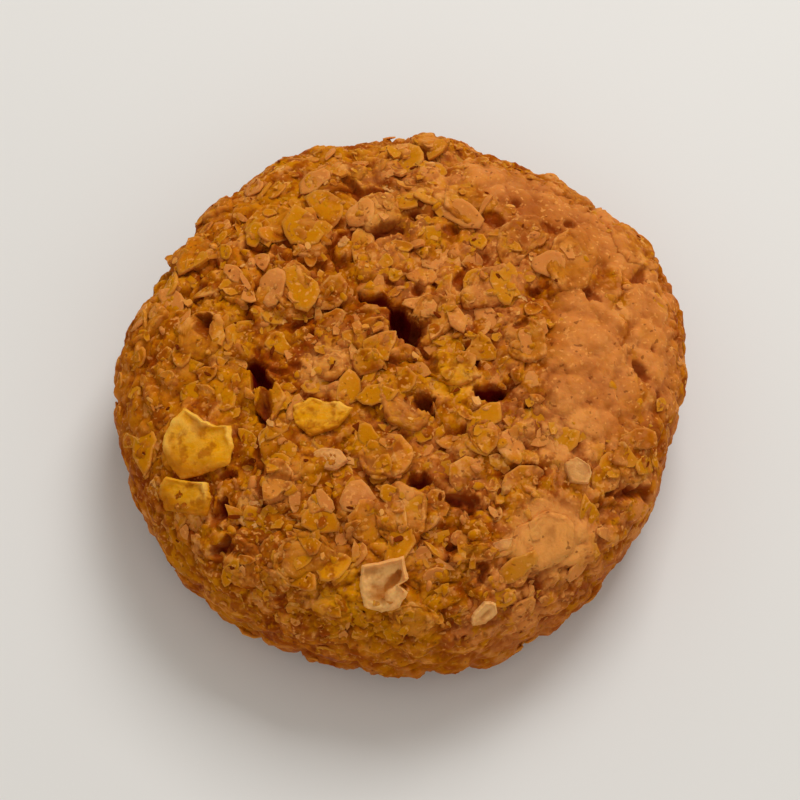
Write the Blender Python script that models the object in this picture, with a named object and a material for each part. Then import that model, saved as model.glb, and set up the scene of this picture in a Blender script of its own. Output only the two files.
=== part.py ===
"""An oatmeal cinnamon cookie: one baked piece with craggy dough and rolled oat flakes fused into it.

Metres, +Z up. The origin is under the middle of the cookie, on the surface that it rests on.
The formulas work in millimetres, and the finished points are turned into metres.
"""

import math

import bmesh
import bpy
import numpy as np

# Driving sizes in millimetres
DIAMETER = 45.0
HEIGHT = 15.0
WIDEST_AT = 6.2  # height of the widest place above the table
BELOW_TABLE = 2.1  # how far the lower curve would go on under the flat base
SHOULDER_POWER = 2.7  # 2 is an ellipse, and more is a squarer shoulder
FOOT_POWER = 3.4
DISH_DEPTH = 0.9  # the middle of the top sank as it baked
DISH_SHARE = 0.46  # width of that hollow, as a share of the radius
TOUCHING_SPOTS = 5  # the underside isn't quite flat, and touches the table at this many places near its edge
BASE_LIFT = 0.1  # how far the rest of it stands clear of the table

# The outline's unevenness: waves round the rim, share of the radius, and degrees of a crest
OUTLINE_WAVES = ((2, 0.022, 48), (3, 0.012, 32), (4, 0.010, 22), (5, 0.006, 22), (7, 0.007, 19))

# Crags in the dough, in millimetres
SWELL_SIZE, SWELL_DEPTH = 10.0, 0.55
CRAG_SIZE, CRAG_DEPTH, CRAG_STEP = 4.0, 0.65, 0.42
GROOVE_WIDTH, GROOVE_DEPTH = 0.18, 0.6
WARP_SHARE = 0.3  # how far a crag's outline wanders, as a share of its size
SIDE_SHARE = 0.8  # the upright side is less craggy than the top by this factor
SEAT_LEVEL = 0.1  # the dough is pressed nearly smooth under each flake
SEAT_REACH, SEAT_FADE = 1.35, 0.6  # how far that goes, in half flakes, and over how much it fades
SWELL_SALT, WARP_SALT, CRAG_SALT = 41, 21, 31  # each pattern's own seed

# Stretches of the top that baked smoother: across x and y, length, width, turn in degrees
SMOOTH_STRETCHES = {
    "right": (14.8, -1.5, 8.5, 12.0, 0),
    "lower right": (11.3, -14.3, 8.0, 4.6, 20),
    "upper right edge": (14.0, 13.0, 16.0, 4.2, -48),
    "right edge": (19.6, 3.0, 4.0, 14.0, 5),
}
SMOOTHING = 0.6  # the share of the crags' height that is missing there
MOST_CALM = 0.4  # flakes are spread only where the dough is less smooth than this

# Holes and cracks in the top: across x and y, length, width, turn in degrees, depth
PITS = {
    "middle hole": (0.4, 2.8, 4.0, 2.2, -58, 2.9),
    "crevice beside the middle hole": (-1.9, 4.9, 3.4, 1.1, -28, 1.3),
    "left hole": (-11.0, -1.4, 3.4, 1.7, -60, 2.4),
    "hole below the middle": (2.0, -4.1, 2.2, 1.4, 0, 1.8),
    "right hole": (6.7, -3.0, 2.3, 1.6, -15, 1.9),
    "lower slit": (1.7, -10.2, 2.3, 1.0, 5, 1.2),
    "lower crack": (4.7, -12.0, 2.6, 1.0, -12, 0.9),
    "left slit": (-15.3, 3.2, 2.4, 1.0, -60, 1.1),
    "upper crack": (-3.8, 15.4, 2.4, 1.0, -50, 0.9),
    "hooked crack": (-1.3, 11.0, 2.6, 1.0, 15, 0.9),
    "upper right hollow": (6.8, 12.6, 3.2, 1.2, -12, 0.7),
    "hollow by the golden flake": (-13.8, -12.1, 2.0, 1.5, 80, 1.2),
    "lower left hollow": (-13.8, -14.8, 2.0, 1.4, 5, 1.0),
    "lower right crack": (17.8, -10.0, 2.6, 1.0, 20, 0.9),
}
LEAST_PIT_RISE = 1.3  # a cutter stands at least this far out of the dough, so that it cuts through every crag
PIT_SIDES, PIT_RINGS = 9, 5

# Flakes that show in the top: across x and y, length, width, turn in degrees, and how far they stand out
SHOWN_FLAKES = {
    "golden flake": (-15.6, -6.7, 6.0, 5.8, 0, 0.35),
    "folded golden flake": (-16.5, -10.7, 4.7, 2.6, -12, 0.25),
    "pale curled flake": (-1.3, -18.3, 4.4, 4.3, 5, 0.45),
    "pale oval flake": (13.6, -9.0, 2.5, 1.8, -50, 0.30),
    "pale edge flake": (6.5, -20.0, 2.4, 1.6, 30, 0.25),
    "flake left of the middle": (-6.0, -5.5, 4.6, 2.8, 12, 0.25),
    "lump left of the middle": (-5.6, -1.0, 3.0, 2.2, -5, 0.30),
    "ridged flake": (13.5, 8.5, 5.4, 3.8, 72, 0.20),
    "ringed flake": (-2.0, 12.9, 3.6, 3.2, 30, 0.20),
    "upper left flake": (-10.6, 11.9, 4.6, 3.4, 30, 0.20),
    "upper orange flake": (-7.2, 10.3, 4.6, 3.6, 95, 0.25),
    "lower left flake": (-9.3, -10.0, 2.9, 2.5, -25, 0.25),
    "middle flake": (4.1, -1.0, 4.0, 2.9, -20, 0.25),
    "broad smooth flake": (10.9, -14.6, 6.4, 4.4, 35, 0.15),
    "lower sliver": (5.7, -15.9, 3.6, 1.5, 12, 0.30),
    "bottom flake": (0.8, -20.6, 4.0, 3.0, 0, 0.20),
}

# More flakes, spread evenly over the rest of the top and the side
MORE_FLAKES = 24
FLAKE_TRIES = 150
LOWEST_FLAKE = -0.55  # the lowest direction that a flake is spread to, as the direction's own height
FLAKE_CLEARANCE = 4.4  # least distance between the middles of two flakes
FLAKE_LENGTHS = (3.6, 5.6)
FLAKE_WIDTH_SHARES = (0.62, 0.9)
FLAKE_STAND_OUTS = (0.05, 0.3)
FLAKE_SEED = 11
FLAKE_THICKNESS = 1.1
FLAKE_SIDES, FLAKE_RINGS = 8, 4

# How uneven the edge of a flake or hole is: waves round it and share of its size
EDGE_WAVES = ((2, 0.10), (3, 0.07))

# The dough's mesh: a cube's faces cut into this many squares each way, then swollen into the cookie
SQUARES = 26
PROFILE_STEPS = 2400
UNDERSIDE_SLOPE = -0.95  # normals that point down more than this are on the base
SLOPE_STEP = 1e-3
SIDE_SLOPE = 0.8  # below this a place counts as side, where flakes turn from the level and not from +X
SHARP_EDGE = math.radians(35)

DOUGH_COLOUR = (0.42, 0.16, 0.03, 1.0)
DOUGH_ROUGHNESS = 0.7
MM = 0.001

# Whole numbers that mix a cell's place into a random number
MIX_X, MIX_Y, MIX_Z, MIX_SALT, MIX_LAST = 374761393, 668265263, 1440662683, 974634777, 1274126177


def lattice_random(cells, salt):
    """A repeatable number from 0 to 1 for each whole-number cell, mixed from its three numbers by a hash."""
    mixed = cells[..., 0] * MIX_X + cells[..., 1] * MIX_Y + cells[..., 2] * MIX_Z
    mixed = (mixed + salt * MIX_SALT) & 0xFFFFFFFF
    mixed = ((mixed ^ (mixed >> 13)) * MIX_LAST) & 0xFFFFFFFF
    return ((mixed ^ (mixed >> 16)) & 0xFFFFFF) / 0xFFFFFF


def soft_noise(points, size, salt):
    """Smooth noise from -1 to 1: random values at cell corners, blended across each cell of this size."""
    scaled = points / size
    corner = np.floor(scaled).astype(np.int64)
    share = scaled - corner
    share = share * share * (3 - 2 * share)
    total = np.zeros(len(points))
    for step in np.ndindex(2, 2, 2):
        weight = np.prod(np.where(step, share, 1 - share), axis=-1)
        total += weight * lattice_random(corner + np.array(step), salt)
    return 2 * total - 1


def wandered(points, size, share, salt):
    """The points, each moved by smooth noise up to this share of the size, which makes even cells ragged."""
    moves = [soft_noise(points, size, salt + axis) for axis in range(3)]
    return points + share * size * np.stack(moves, axis=-1)


def lump_cells(points, size, salt):
    """Distances to the nearest and second nearest seed, in sizes, and the nearest seed's own random number.

    One seed lies at a random place in each cubic cell of this size.
    """
    scaled = points / size
    home = np.floor(scaled).astype(np.int64)
    nearest = np.full(len(points), np.inf)
    second = np.full(len(points), np.inf)
    own = np.zeros(len(points))
    for step in np.ndindex(3, 3, 3):
        cell = home + np.array(step) - 1
        seed = cell + np.stack([lattice_random(cell, salt + axis) for axis in range(3)], axis=-1)
        distance = np.linalg.norm(scaled - seed, axis=-1)
        closer = distance < nearest
        second = np.where(closer, nearest, np.minimum(second, distance))
        own = np.where(closer, lattice_random(cell, salt + 3), own)
        nearest = np.where(closer, distance, nearest)
    return nearest, second, own


def outline_radius(turn):
    """Radius at each angle round the cookie: a circle and a few waves."""
    share = sum(size * np.cos(waves * (turn - math.radians(crest))) for waves, size, crest in OUTLINE_WAVES)
    return DIAMETER / 2 * (1 + share)


def side_profile():
    """The smooth section from the middle of the top round to the middle of the base, evenly along its length.

    Gives the share of its length, radius share, height, the outward normal's two parts, and where the base
    starts. Above the widest place it is a quarter of a superellipse, below it another, cut off flat at the table.
    """
    swing = np.linspace(0, math.pi / 2, PROFILE_STEPS)
    over, up = np.sin(swing), np.cos(swing)
    top_share = over ** (2 / SHOULDER_POWER)
    top_height = WIDEST_AT + (HEIGHT - WIDEST_AT) * up ** (2 / SHOULDER_POWER)
    top_height -= DISH_DEPTH * np.exp(-((top_share / DISH_SHARE) ** 2))
    foot_share = over[::-1] ** (2 / FOOT_POWER)
    foot_height = WIDEST_AT - (WIDEST_AT + BELOW_TABLE) * up[::-1] ** (2 / FOOT_POWER)
    above = foot_height > 0
    share = np.concatenate([top_share, foot_share[above], [0]])
    height = np.concatenate([top_height, foot_height[above], [0]])
    steps = np.hypot(np.diff(share) * DIAMETER / 2, np.diff(height))
    length = np.concatenate([[0], np.cumsum(steps)])
    even = np.linspace(0, length[-1], PROFILE_STEPS)
    share, height = np.interp(even, length, share), np.interp(even, length, height)
    across, down = np.gradient(share * DIAMETER / 2, even), np.gradient(height, even)
    return even / even[-1], share, height, -down, across, length[-2] / length[-1]


ALONG, SHARE, SECTION_HEIGHT, NORMAL_OUT, NORMAL_UP, FOOT_AT = side_profile()


def foot_swing(turn):
    """How far down from straight up the edge of a cube's bottom face lies, in the direction of each angle."""
    from_face = (turn + math.pi / 4) % (math.pi / 2) - math.pi / 4
    return math.pi - np.arctan(1 / np.cos(from_face))


def smooth_cookie(directions):
    """Points and outward normals on the cookie before any crags, for directions from its middle.

    The bottom face of the cube that the directions come from covers the flat base exactly.
    """
    swing = np.arccos(np.clip(directions[:, 2], -1, 1))
    turn = np.arctan2(directions[:, 1], directions[:, 0])
    foot = foot_swing(turn)
    down_side = FOOT_AT * swing / foot
    under_base = 1 - (1 - FOOT_AT) * (math.pi - swing) / (math.pi - foot)
    place = np.where(swing < foot, down_side, under_base)
    radius = np.interp(place, ALONG, SHARE) * outline_radius(turn)
    out, up = np.interp(place, ALONG, NORMAL_OUT), np.interp(place, ALONG, NORMAL_UP)
    height = np.interp(place, ALONG, SECTION_HEIGHT)
    points = np.stack([radius * np.cos(turn), radius * np.sin(turn), height], axis=-1)
    normals = np.stack([out * np.cos(turn), out * np.sin(turn), up], axis=-1)
    return points, normals / np.linalg.norm(normals, axis=-1, keepdims=True)


def direction_to_top(x, y):
    """The direction whose smooth point on the top or shoulder lies above this x and y."""
    turn = math.atan2(y, x)
    widest = int(np.argmax(SHARE))
    wanted = math.hypot(x, y) / outline_radius(turn)
    place = np.interp(wanted, SHARE[:widest], ALONG[:widest])
    swing = place / FOOT_AT * foot_swing(turn)
    return np.array([math.sin(swing) * math.cos(turn), math.sin(swing) * math.sin(turn), math.cos(swing)])


def oval_distance(points, x, y, length, width, spin):
    """Squared distance from an oval's middle seen from above: 1 on its edge."""
    angle = math.radians(spin)
    dx, dy = points[:, 0] - x, points[:, 1] - y
    along = (dx * math.cos(angle) + dy * math.sin(angle)) / (length / 2)
    across = (dy * math.cos(angle) - dx * math.sin(angle)) / (width / 2)
    return along**2 + across**2


def calm_share(points, normals):
    """1 in the middle of each smooth stretch, fading to 0 round it and where the top turns into the side."""
    calm = np.zeros(len(points))
    for stretch in SMOOTH_STRETCHES.values():
        calm = np.maximum(calm, np.exp(-(oval_distance(points, *stretch) ** 2)))
    return calm * np.clip(2 * normals[:, 2], 0, 1)


def flake_list():
    """Every large flake as (direction, length, width, turn, stand out): the named ones, then an even spread.

    The spread steps round by the golden angle from the top down the side, and skips what lies too close to
    another or in a smooth stretch.
    """
    flakes = [(direction_to_top(x, y), *rest) for x, y, *rest in SHOWN_FLAKES.values()]
    random = np.random.default_rng(FLAKE_SEED)
    golden_turn = math.pi * (3 - math.sqrt(5))
    for step in range(FLAKE_TRIES):
        if len(flakes) == len(SHOWN_FLAKES) + MORE_FLAKES:
            break
        up = 1 - (1 - LOWEST_FLAKE) * (step + 0.5) / FLAKE_TRIES
        turn = step * golden_turn
        length = random.uniform(*FLAKE_LENGTHS)
        width = length * random.uniform(*FLAKE_WIDTH_SHARES)
        spin = random.uniform(0, 360)
        stand_out = random.uniform(*FLAKE_STAND_OUTS)
        flat = math.sqrt(1 - up * up)
        direction = np.array([flat * math.cos(turn), flat * math.sin(turn), up])
        points, normals = smooth_cookie(np.array([direction] + [flake[0] for flake in flakes]))
        clear = np.linalg.norm(points[1:] - points[0], axis=-1).min() > FLAKE_CLEARANCE
        if clear and calm_share(points[:1], normals[:1])[0] < MOST_CALM:
            flakes.append((direction, length, width, spin, stand_out))
    return flakes


def surface_frame(direction, spin):
    """A place on the smooth cookie, and its long, short and outward axes when turned by this many degrees."""
    points, normals = smooth_cookie(direction[None, :])
    normal = normals[0]
    reference = np.array([0.0, 0.0, 1.0]) if abs(normal[2]) < SIDE_SLOPE else np.array([0.0, 1.0, 0.0])
    level = np.cross(reference, normal)
    level /= np.linalg.norm(level)
    uphill = np.cross(normal, level)
    angle = math.radians(spin)
    long_axis = math.cos(angle) * level + math.sin(angle) * uphill
    return points[0], long_axis, np.cross(normal, long_axis), normal


def draped(direction, spin, along, across, up):
    """Points of a flake laid over the curved cookie.

    Each point's step from the flake's middle, in its tangent plane, is turned into a change of direction
    through the surface's own slopes, so that the flake bends over the shoulder instead of standing off it.
    """
    middle, long_axis, short_axis, _ = surface_frame(direction, spin)
    side = np.cross(direction, np.roll(direction, 1) + np.array([0.0, 0.0, 1.0]))
    side /= np.linalg.norm(side)
    sides = np.stack([side, np.cross(direction, side)])
    near, _ = smooth_cookie(direction + SLOPE_STEP * sides)
    slopes = (near - middle).T / SLOPE_STEP
    steps = np.outer(along, long_axis) + np.outer(across, short_axis)
    turned = direction + (np.linalg.pinv(slopes) @ steps.T).T @ sides
    points, normals = smooth_cookie(turned / np.linalg.norm(turned, axis=-1, keepdims=True))
    return points + normals * up[:, None]


def relief(points, normals, flakes):
    """How far the dough stands out along its normal: broad swellings and rounded crags, less grooves."""
    ragged = wandered(points, CRAG_SIZE, WARP_SHARE, WARP_SALT)
    nearest, second, own = lump_cells(ragged, CRAG_SIZE, CRAG_SALT)
    crag = CRAG_DEPTH * (0.5 - nearest**2) + CRAG_STEP * (own - 0.5)
    groove = GROOVE_DEPTH * np.exp(-(((second - nearest) / GROOVE_WIDTH) ** 2))
    rough = (crag - groove) * (SIDE_SHARE + (1 - SIDE_SHARE) * np.abs(normals[:, 2]))
    rough *= 1 - SMOOTHING * calm_share(points, normals)
    seat = np.zeros(len(points))
    for direction, length, width, spin, _ in flakes:
        middle, long_axis, short_axis, _ = surface_frame(direction, spin)
        away = points - middle
        half_flakes = 2 * np.hypot(away @ long_axis / length, away @ short_axis / width)
        seat = np.maximum(seat, np.clip((SEAT_REACH - half_flakes) / SEAT_FADE, 0, 1))
    swell = SWELL_DEPTH * soft_noise(points, SWELL_SIZE, SWELL_SALT)
    return swell + rough * (1 - seat) + SEAT_LEVEL * seat


def cookie_surface(directions, flakes):
    """The craggy surface: the smooth cookie moved along its normals by the relief, with a flat underside."""
    points, normals = smooth_cookie(directions)
    height = relief(points, normals, flakes)
    height = np.where(normals[:, 2] < UNDERSIDE_SLOPE, 0, height)
    moved = points + normals * height[:, None]
    moved[:, 2] = np.maximum(moved[:, 2], BASE_LIFT)
    return moved


def lower_touching_spots(points):
    """Brings the underside's outermost point in each of a few directions down to the table."""
    for spot in range(TOUCHING_SPOTS):
        turn = 2 * math.pi * spot / TOUCHING_SPOTS
        reach = points[:, 0] * math.cos(turn) + points[:, 1] * math.sin(turn)
        points[np.argmax(np.where(points[:, 2] > BASE_LIFT, -np.inf, reach)), 2] = 0


def middle_of(points):
    """The middle of the points' box, seen from above, as a shift in x and y only."""
    middle = (points.min(axis=0) + points.max(axis=0)) / 2
    return np.array([middle[0], middle[1], 0])


def new_object(name, shape):
    """A mesh object made from a bmesh, linked to the scene."""
    mesh = bpy.data.meshes.new(name)
    shape.to_mesh(mesh)
    shape.free()
    made = bpy.data.objects.new(name, mesh)
    bpy.context.scene.collection.objects.link(made)
    return made


def vertex_array(mesh):
    """The mesh's vertex positions as an array of rows."""
    places = np.zeros(len(mesh.vertices) * 3)
    mesh.vertices.foreach_get("co", places)
    return places.reshape(-1, 3)


def move_vertices(mesh, points):
    """Puts the mesh's vertices at these points, given in millimetres."""
    mesh.vertices.foreach_set("co", (points * MM).ravel())
    mesh.update()


def make_dough(flakes):
    """The dough: a cube cut into squares, evened out over a sphere, and set on the cookie's surface."""
    shape = bmesh.new()
    bmesh.ops.create_cube(shape, size=2)
    bmesh.ops.subdivide_edges(shape, edges=shape.edges[:], cuts=SQUARES - 1, use_grid_fill=True)
    dough = new_object("cookie", shape)
    even = np.tan(vertex_array(dough.data) * math.pi / 4)
    directions = even / np.linalg.norm(even, axis=-1, keepdims=True)
    points = cookie_surface(directions, flakes)
    lower_touching_spots(points)
    shift = middle_of(points)
    move_vertices(dough.data, points - shift)
    return dough, shift


def uneven_ball(name, sides, rings, number):
    """A ball of radius 1 with an uneven outline of its own: its object, and its points along three axes."""
    shape = bmesh.new()
    bmesh.ops.create_uvsphere(shape, u_segments=sides, v_segments=rings, radius=1)
    made = new_object(name, shape)
    unit = vertex_array(made.data)
    turn = np.arctan2(unit[:, 1], unit[:, 0])
    edge = 1 + sum(share * np.sin(waves * turn + waves * number) for waves, share in EDGE_WAVES)
    return made, unit[:, 0] * edge, unit[:, 1] * edge, unit[:, 2]


def swell_at(middle):
    """How far the broad swelling lifts the dough at one place."""
    return SWELL_DEPTH * soft_noise(middle[None, :], SWELL_SIZE, SWELL_SALT)[0]


def make_flake(number, flake, shift):
    """One oat flake: a flattened ball with an uneven edge, lying half sunk in the dough."""
    direction, length, width, spin, stand_out = flake
    made, along, across, up = uneven_ball(f"oat flake {number}", FLAKE_SIDES, FLAKE_RINGS, number)
    level = swell_at(surface_frame(direction, spin)[0]) + SEAT_LEVEL + stand_out - FLAKE_THICKNESS / 4
    up = up * FLAKE_THICKNESS / 2 + level
    move_vertices(made.data, draped(direction, spin, along * length / 2, across * width / 2, up) - shift)
    return made


def make_pit(number, pit, shift):
    """The cutter of one hole or crack: a ball that reaches as deep as the hole goes."""
    x, y, length, width, spin, depth = pit
    middle, long_axis, short_axis, normal = surface_frame(direction_to_top(x, y), spin)
    made, along, across, up = uneven_ball(f"hole {number}", PIT_SIDES, PIT_RINGS, number)
    up = up * np.where(up > 0, max(depth, LEAST_PIT_RISE), depth) + swell_at(middle)
    flat = np.outer(along * length / 2, long_axis) + np.outer(across * width / 2, short_axis)
    move_vertices(made.data, middle - shift + flat + np.outer(up, normal))
    return made


def combine(dough, tools, operation):
    """Cuts the tools out of the dough, or joins them to it, in one Boolean, and removes the loose tools."""
    loose = bpy.data.collections.new("loose tools")
    bpy.context.scene.collection.children.link(loose)
    for tool in tools:
        bpy.context.scene.collection.objects.unlink(tool)
        loose.objects.link(tool)
    boolean = dough.modifiers.new(operation, "BOOLEAN")
    boolean.operation = operation
    boolean.operand_type = "COLLECTION"
    boolean.collection = loose
    boolean.solver = "EXACT"
    graph = bpy.context.evaluated_depsgraph_get()
    combined = bpy.data.meshes.new_from_object(dough.evaluated_get(graph))
    dough.modifiers.clear()
    dough.data = combined
    for tool in tools:
        bpy.data.objects.remove(tool)
    bpy.data.collections.remove(loose)


def cut_into_triangles(made):
    """Cuts the many-cornered faces that the Booleans left into triangles."""
    mesh = bmesh.new()
    mesh.from_mesh(made.data)
    bmesh.ops.triangulate(mesh, faces=mesh.faces[:])
    mesh.to_mesh(made.data)
    mesh.free()


def give_material(made):
    """Baked oat dough: a matte golden brown."""
    material = bpy.data.materials.new("baked oat dough")
    material.use_nodes = True
    shader = material.node_tree.nodes["Principled BSDF"]
    shader.inputs["Base Color"].default_value = DOUGH_COLOUR
    shader.inputs["Roughness"].default_value = DOUGH_ROUGHNESS
    shader.inputs["Metallic"].default_value = 0.0
    made.data.materials.clear()
    made.data.materials.append(material)


def main():
    for old in list(bpy.data.objects):
        bpy.data.objects.remove(old)
    flakes = flake_list()
    dough, shift = make_dough(flakes)
    combine(dough, [make_pit(number, pit, shift) for number, pit in enumerate(PITS.values())], "DIFFERENCE")
    combine(dough, [make_flake(number, flake, shift) for number, flake in enumerate(flakes)], "UNION")
    cut_into_triangles(dough)
    give_material(dough)
    dough.data.shade_smooth()
    dough.data.set_sharp_from_angle(angle=SHARP_EDGE)


main()
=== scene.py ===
"""The looks of an oatmeal cinnamon cookie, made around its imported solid.

The dough is one closed surface worked out by formula: the smooth cookie, the solid's own crags, and finer layers of
broken pieces, cracks, pores and holes. Rolled oat flakes, crumbs and bran lie on it as meshes of their own. The
formulas work in millimetres, and the finished points are turned into metres.
"""

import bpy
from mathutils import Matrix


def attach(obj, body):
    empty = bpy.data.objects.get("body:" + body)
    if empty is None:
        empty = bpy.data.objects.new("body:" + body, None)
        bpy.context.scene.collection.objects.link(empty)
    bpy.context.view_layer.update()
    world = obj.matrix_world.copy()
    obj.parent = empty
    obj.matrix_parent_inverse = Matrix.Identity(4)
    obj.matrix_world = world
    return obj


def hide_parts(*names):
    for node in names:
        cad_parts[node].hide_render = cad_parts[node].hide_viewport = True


bl_info = {
    "name": "Oatmeal Cinnamon Cookie",
    "version": (1, 0, 0),
    "blender": (4, 5, 0),
    "location": "3D View > Sidebar > Cookie",
    "description": "Makes an oatmeal cookie's dough, oat flakes, crumbs and bran, and a soft light to show them in",
    "category": "Object",
}

import math
from typing import NamedTuple

import bpy
import numpy as np
from bpy.props import FloatProperty, FloatVectorProperty, IntProperty, PointerProperty
from bpy.types import Operator, Panel, PropertyGroup
from mathutils import Vector

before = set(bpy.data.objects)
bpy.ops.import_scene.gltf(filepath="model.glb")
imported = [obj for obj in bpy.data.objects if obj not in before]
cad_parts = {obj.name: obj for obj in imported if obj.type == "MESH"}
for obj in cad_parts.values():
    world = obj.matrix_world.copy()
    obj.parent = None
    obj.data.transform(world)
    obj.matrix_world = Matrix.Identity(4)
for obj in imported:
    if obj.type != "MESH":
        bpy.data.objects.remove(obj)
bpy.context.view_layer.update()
MM = 0.001

# The smooth cookie, in millimetres, as the solid has it
DIAMETER = 45.0
HEIGHT = 15.0
WIDEST_AT = 6.2
BELOW_TABLE = 2.1
SHOULDER_POWER = 2.7
FOOT_POWER = 3.4
DISH_DEPTH = 0.9
DISH_SHARE = 0.46
OUTLINE_WAVES = ((2, 0.022, 48), (3, 0.012, 32), (4, 0.010, 22), (5, 0.006, 22), (7, 0.007, 19))

# The crags that the solid has
SWELL_SIZE, SWELL_DEPTH = 10.0, 0.55
CRAG_SIZE, CRAG_DEPTH, CRAG_STEP = 4.0, 0.65, 0.42
GROOVE_WIDTH, GROOVE_DEPTH = 0.18, 0.6
WARP_SHARE = 0.3
SIDE_SHARE = 0.8
SEAT_LEVEL = 0.1
SEAT_REACH, SEAT_FADE = 1.35, 0.6
SWELL_SALT, WARP_SALT, CRAG_SALT = 41, 21, 31
SOLID_SQUARES = 26

# Stretches of the top that baked smoother: across x and y, length, width, turn in degrees
SMOOTH_STRETCHES = {
    "right": (14.8, -1.5, 8.5, 12.0, 0),
    "lower right": (11.3, -14.3, 8.0, 4.6, 20),
    "upper right edge": (14.0, 13.0, 16.0, 4.2, -48),
    "right edge": (19.6, 3.0, 4.0, 14.0, 5),
}
SMOOTHING = 0.6  # the share of the crags' height that is missing there
# Where the finest crust is missing too, and the dough is tan
BARE_PATCHES = {
    "lower right": (12.1, -13.8, 6.4, 6.2, 20),
    "right": (14.9, 1.5, 6.8, 13.0, 8),
    "upper right": (9.6, 15.0, 12.0, 4.5, -36),
}
MOST_CALM = 0.4  # flakes are spread only where the dough is less smooth than this

# Holes and cracks in the top: across x and y, length, width, turn in degrees, depth
PITS = {
    "middle hole": (0.4, 2.8, 4.0, 2.2, -58, 2.9),
    "crevice beside the middle hole": (-1.9, 4.9, 3.4, 1.1, -28, 1.3),
    "left hole": (-11.0, -1.4, 3.4, 1.7, -60, 2.4),
    "hole below the middle": (2.0, -4.1, 2.2, 1.4, 0, 1.8),
    "right hole": (6.7, -3.0, 2.3, 1.6, -15, 1.9),
    "lower slit": (1.7, -10.2, 2.3, 1.0, 5, 1.2),
    "lower crack": (4.7, -12.0, 2.6, 1.0, -12, 0.9),
    "left slit": (-15.3, 3.2, 2.4, 1.0, -60, 1.1),
    "upper crack": (-3.8, 15.4, 2.4, 1.0, -50, 0.9),
    "hooked crack": (-1.3, 11.0, 2.6, 1.0, 15, 0.9),
    "upper right hollow": (6.8, 12.6, 3.2, 1.2, -12, 0.7),
    "hollow by the golden flake": (-13.8, -12.1, 2.0, 1.5, 80, 1.2),
    "lower left hollow": (-13.8, -14.8, 2.0, 1.4, 5, 1.0),
    "lower right crack": (17.8, -10.0, 2.6, 1.0, 20, 0.9),
}

# Finer cracks and marks that are too small for the solid, round from the left hole, given in the same way
FINE_CRACKS = (
    (-10.5, -4.3, 3.2, 1.2, -85, 1.1), (-2.2, 15.0, 2.8, 0.9, 25, 0.9), (4.7, 6.6, 2.6, 0.8, 75, 0.6),
    (5.8, 0.2, 2.2, 0.8, -50, 0.7), (9.6, 2.6, 1.4, 0.9, 30, 0.6), (10.9, 6.1, 2.6, 0.7, 0, 0.5),
    (18.7, 8.0, 1.6, 0.8, 70, 0.6), (-16.0, 6.3, 1.6, 1.0, 80, 0.6), (-12.0, 4.0, 1.5, 0.8, -70, 0.6),
    (-9.7, 9.0, 1.5, 0.7, -45, 0.6), (4.2, 11.4, 1.7, 0.9, -5, 0.6), (11.9, 11.4, 1.6, 1.0, -15, 0.6),
    (-7.9, 2.9, 2.6, 0.9, 20, 0.6), (-5.1, 4.2, 2.8, 1.1, -30, 0.7), (14.9, 5.7, 1.6, 0.8, -40, 0.6),
    (18.9, -0.4, 1.7, 0.8, -45, 0.6), (10.2, -5.7, 1.0, 1.0, 60, 0.6), (10.4, -9.4, 2.0, 0.8, -20, 0.7),
    (-10.9, -9.5, 7.0, 0.8, -80, 0.5), (-13.5, -9.4, 1.5, 1.0, -20, 0.7), (3.9, -15.4, 1.2, 1.0, 0, 0.6),
    (6.2, -17.4, 2.0, 0.8, -70, 0.8), (-0.9, -17.8, 1.4, 0.55, 30, 0.35), (-1.8, -18.9, 1.6, 1.0, 15, 0.15),
)

# Cracks that bend round a flake: middle across x and y, radius, the turns where they start and end, width, depth
CURVED_CRACKS = {
    "round the ringed flake": (-1.9, 12.7, 1.75, 170, 260, 0.6, 0.5),
    "curl at the upper left": (-4.4, 9.8, 1.0, 60, 240, 0.7, 0.6),
    "right of the middle hole": (4.4, 1.4, 2.8, 165, 225, 0.8, 0.6),
    "round the upper left flake": (-10.4, 11.6, 2.2, 225, 310, 0.7, 0.35),
    "under the flake by the left hole": (-9.3, 1.0, 1.9, 200, 300, 0.7, 0.5),
}
CRACK_STEP = 0.7  # a curved crack is a row of short ones this far apart

# Flakes that show in the top: across x and y, length, width, turn in degrees, and how far they stand out
SHOWN_FLAKES = {
    "golden flake": (-15.6, -6.7, 6.0, 5.8, 0, 0.35),
    "folded golden flake": (-16.5, -10.7, 4.7, 2.6, -12, 0.25),
    "pale curled flake": (-1.3, -18.3, 4.4, 4.3, 5, 0.45),
    "pale oval flake": (13.6, -9.0, 2.5, 1.8, -50, 0.30),
    "pale edge flake": (6.5, -20.0, 2.4, 1.6, 30, 0.25),
    "flake left of the middle": (-6.0, -5.5, 4.6, 2.8, 12, 0.25),
    "lump left of the middle": (-5.6, -1.0, 3.0, 2.2, -5, 0.30),
    "ridged flake": (13.5, 8.5, 5.4, 3.8, 72, 0.20),
    "ringed flake": (-2.0, 12.9, 3.6, 3.2, 30, 0.20),
    "upper left flake": (-10.6, 11.9, 4.6, 3.4, 30, 0.20),
    "upper orange flake": (-7.2, 10.3, 4.6, 3.6, 95, 0.25),
    "lower left flake": (-9.3, -10.0, 2.9, 2.5, -25, 0.25),
    "middle flake": (4.1, -1.0, 4.0, 2.9, -20, 0.25),
    "broad smooth flake": (10.9, -14.6, 6.4, 4.4, 35, 0.15),
    "lower sliver": (5.7, -15.9, 3.6, 1.5, 12, 0.30),
    "bottom flake": (0.8, -20.6, 4.0, 3.0, 0, 0.20),
}
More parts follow.
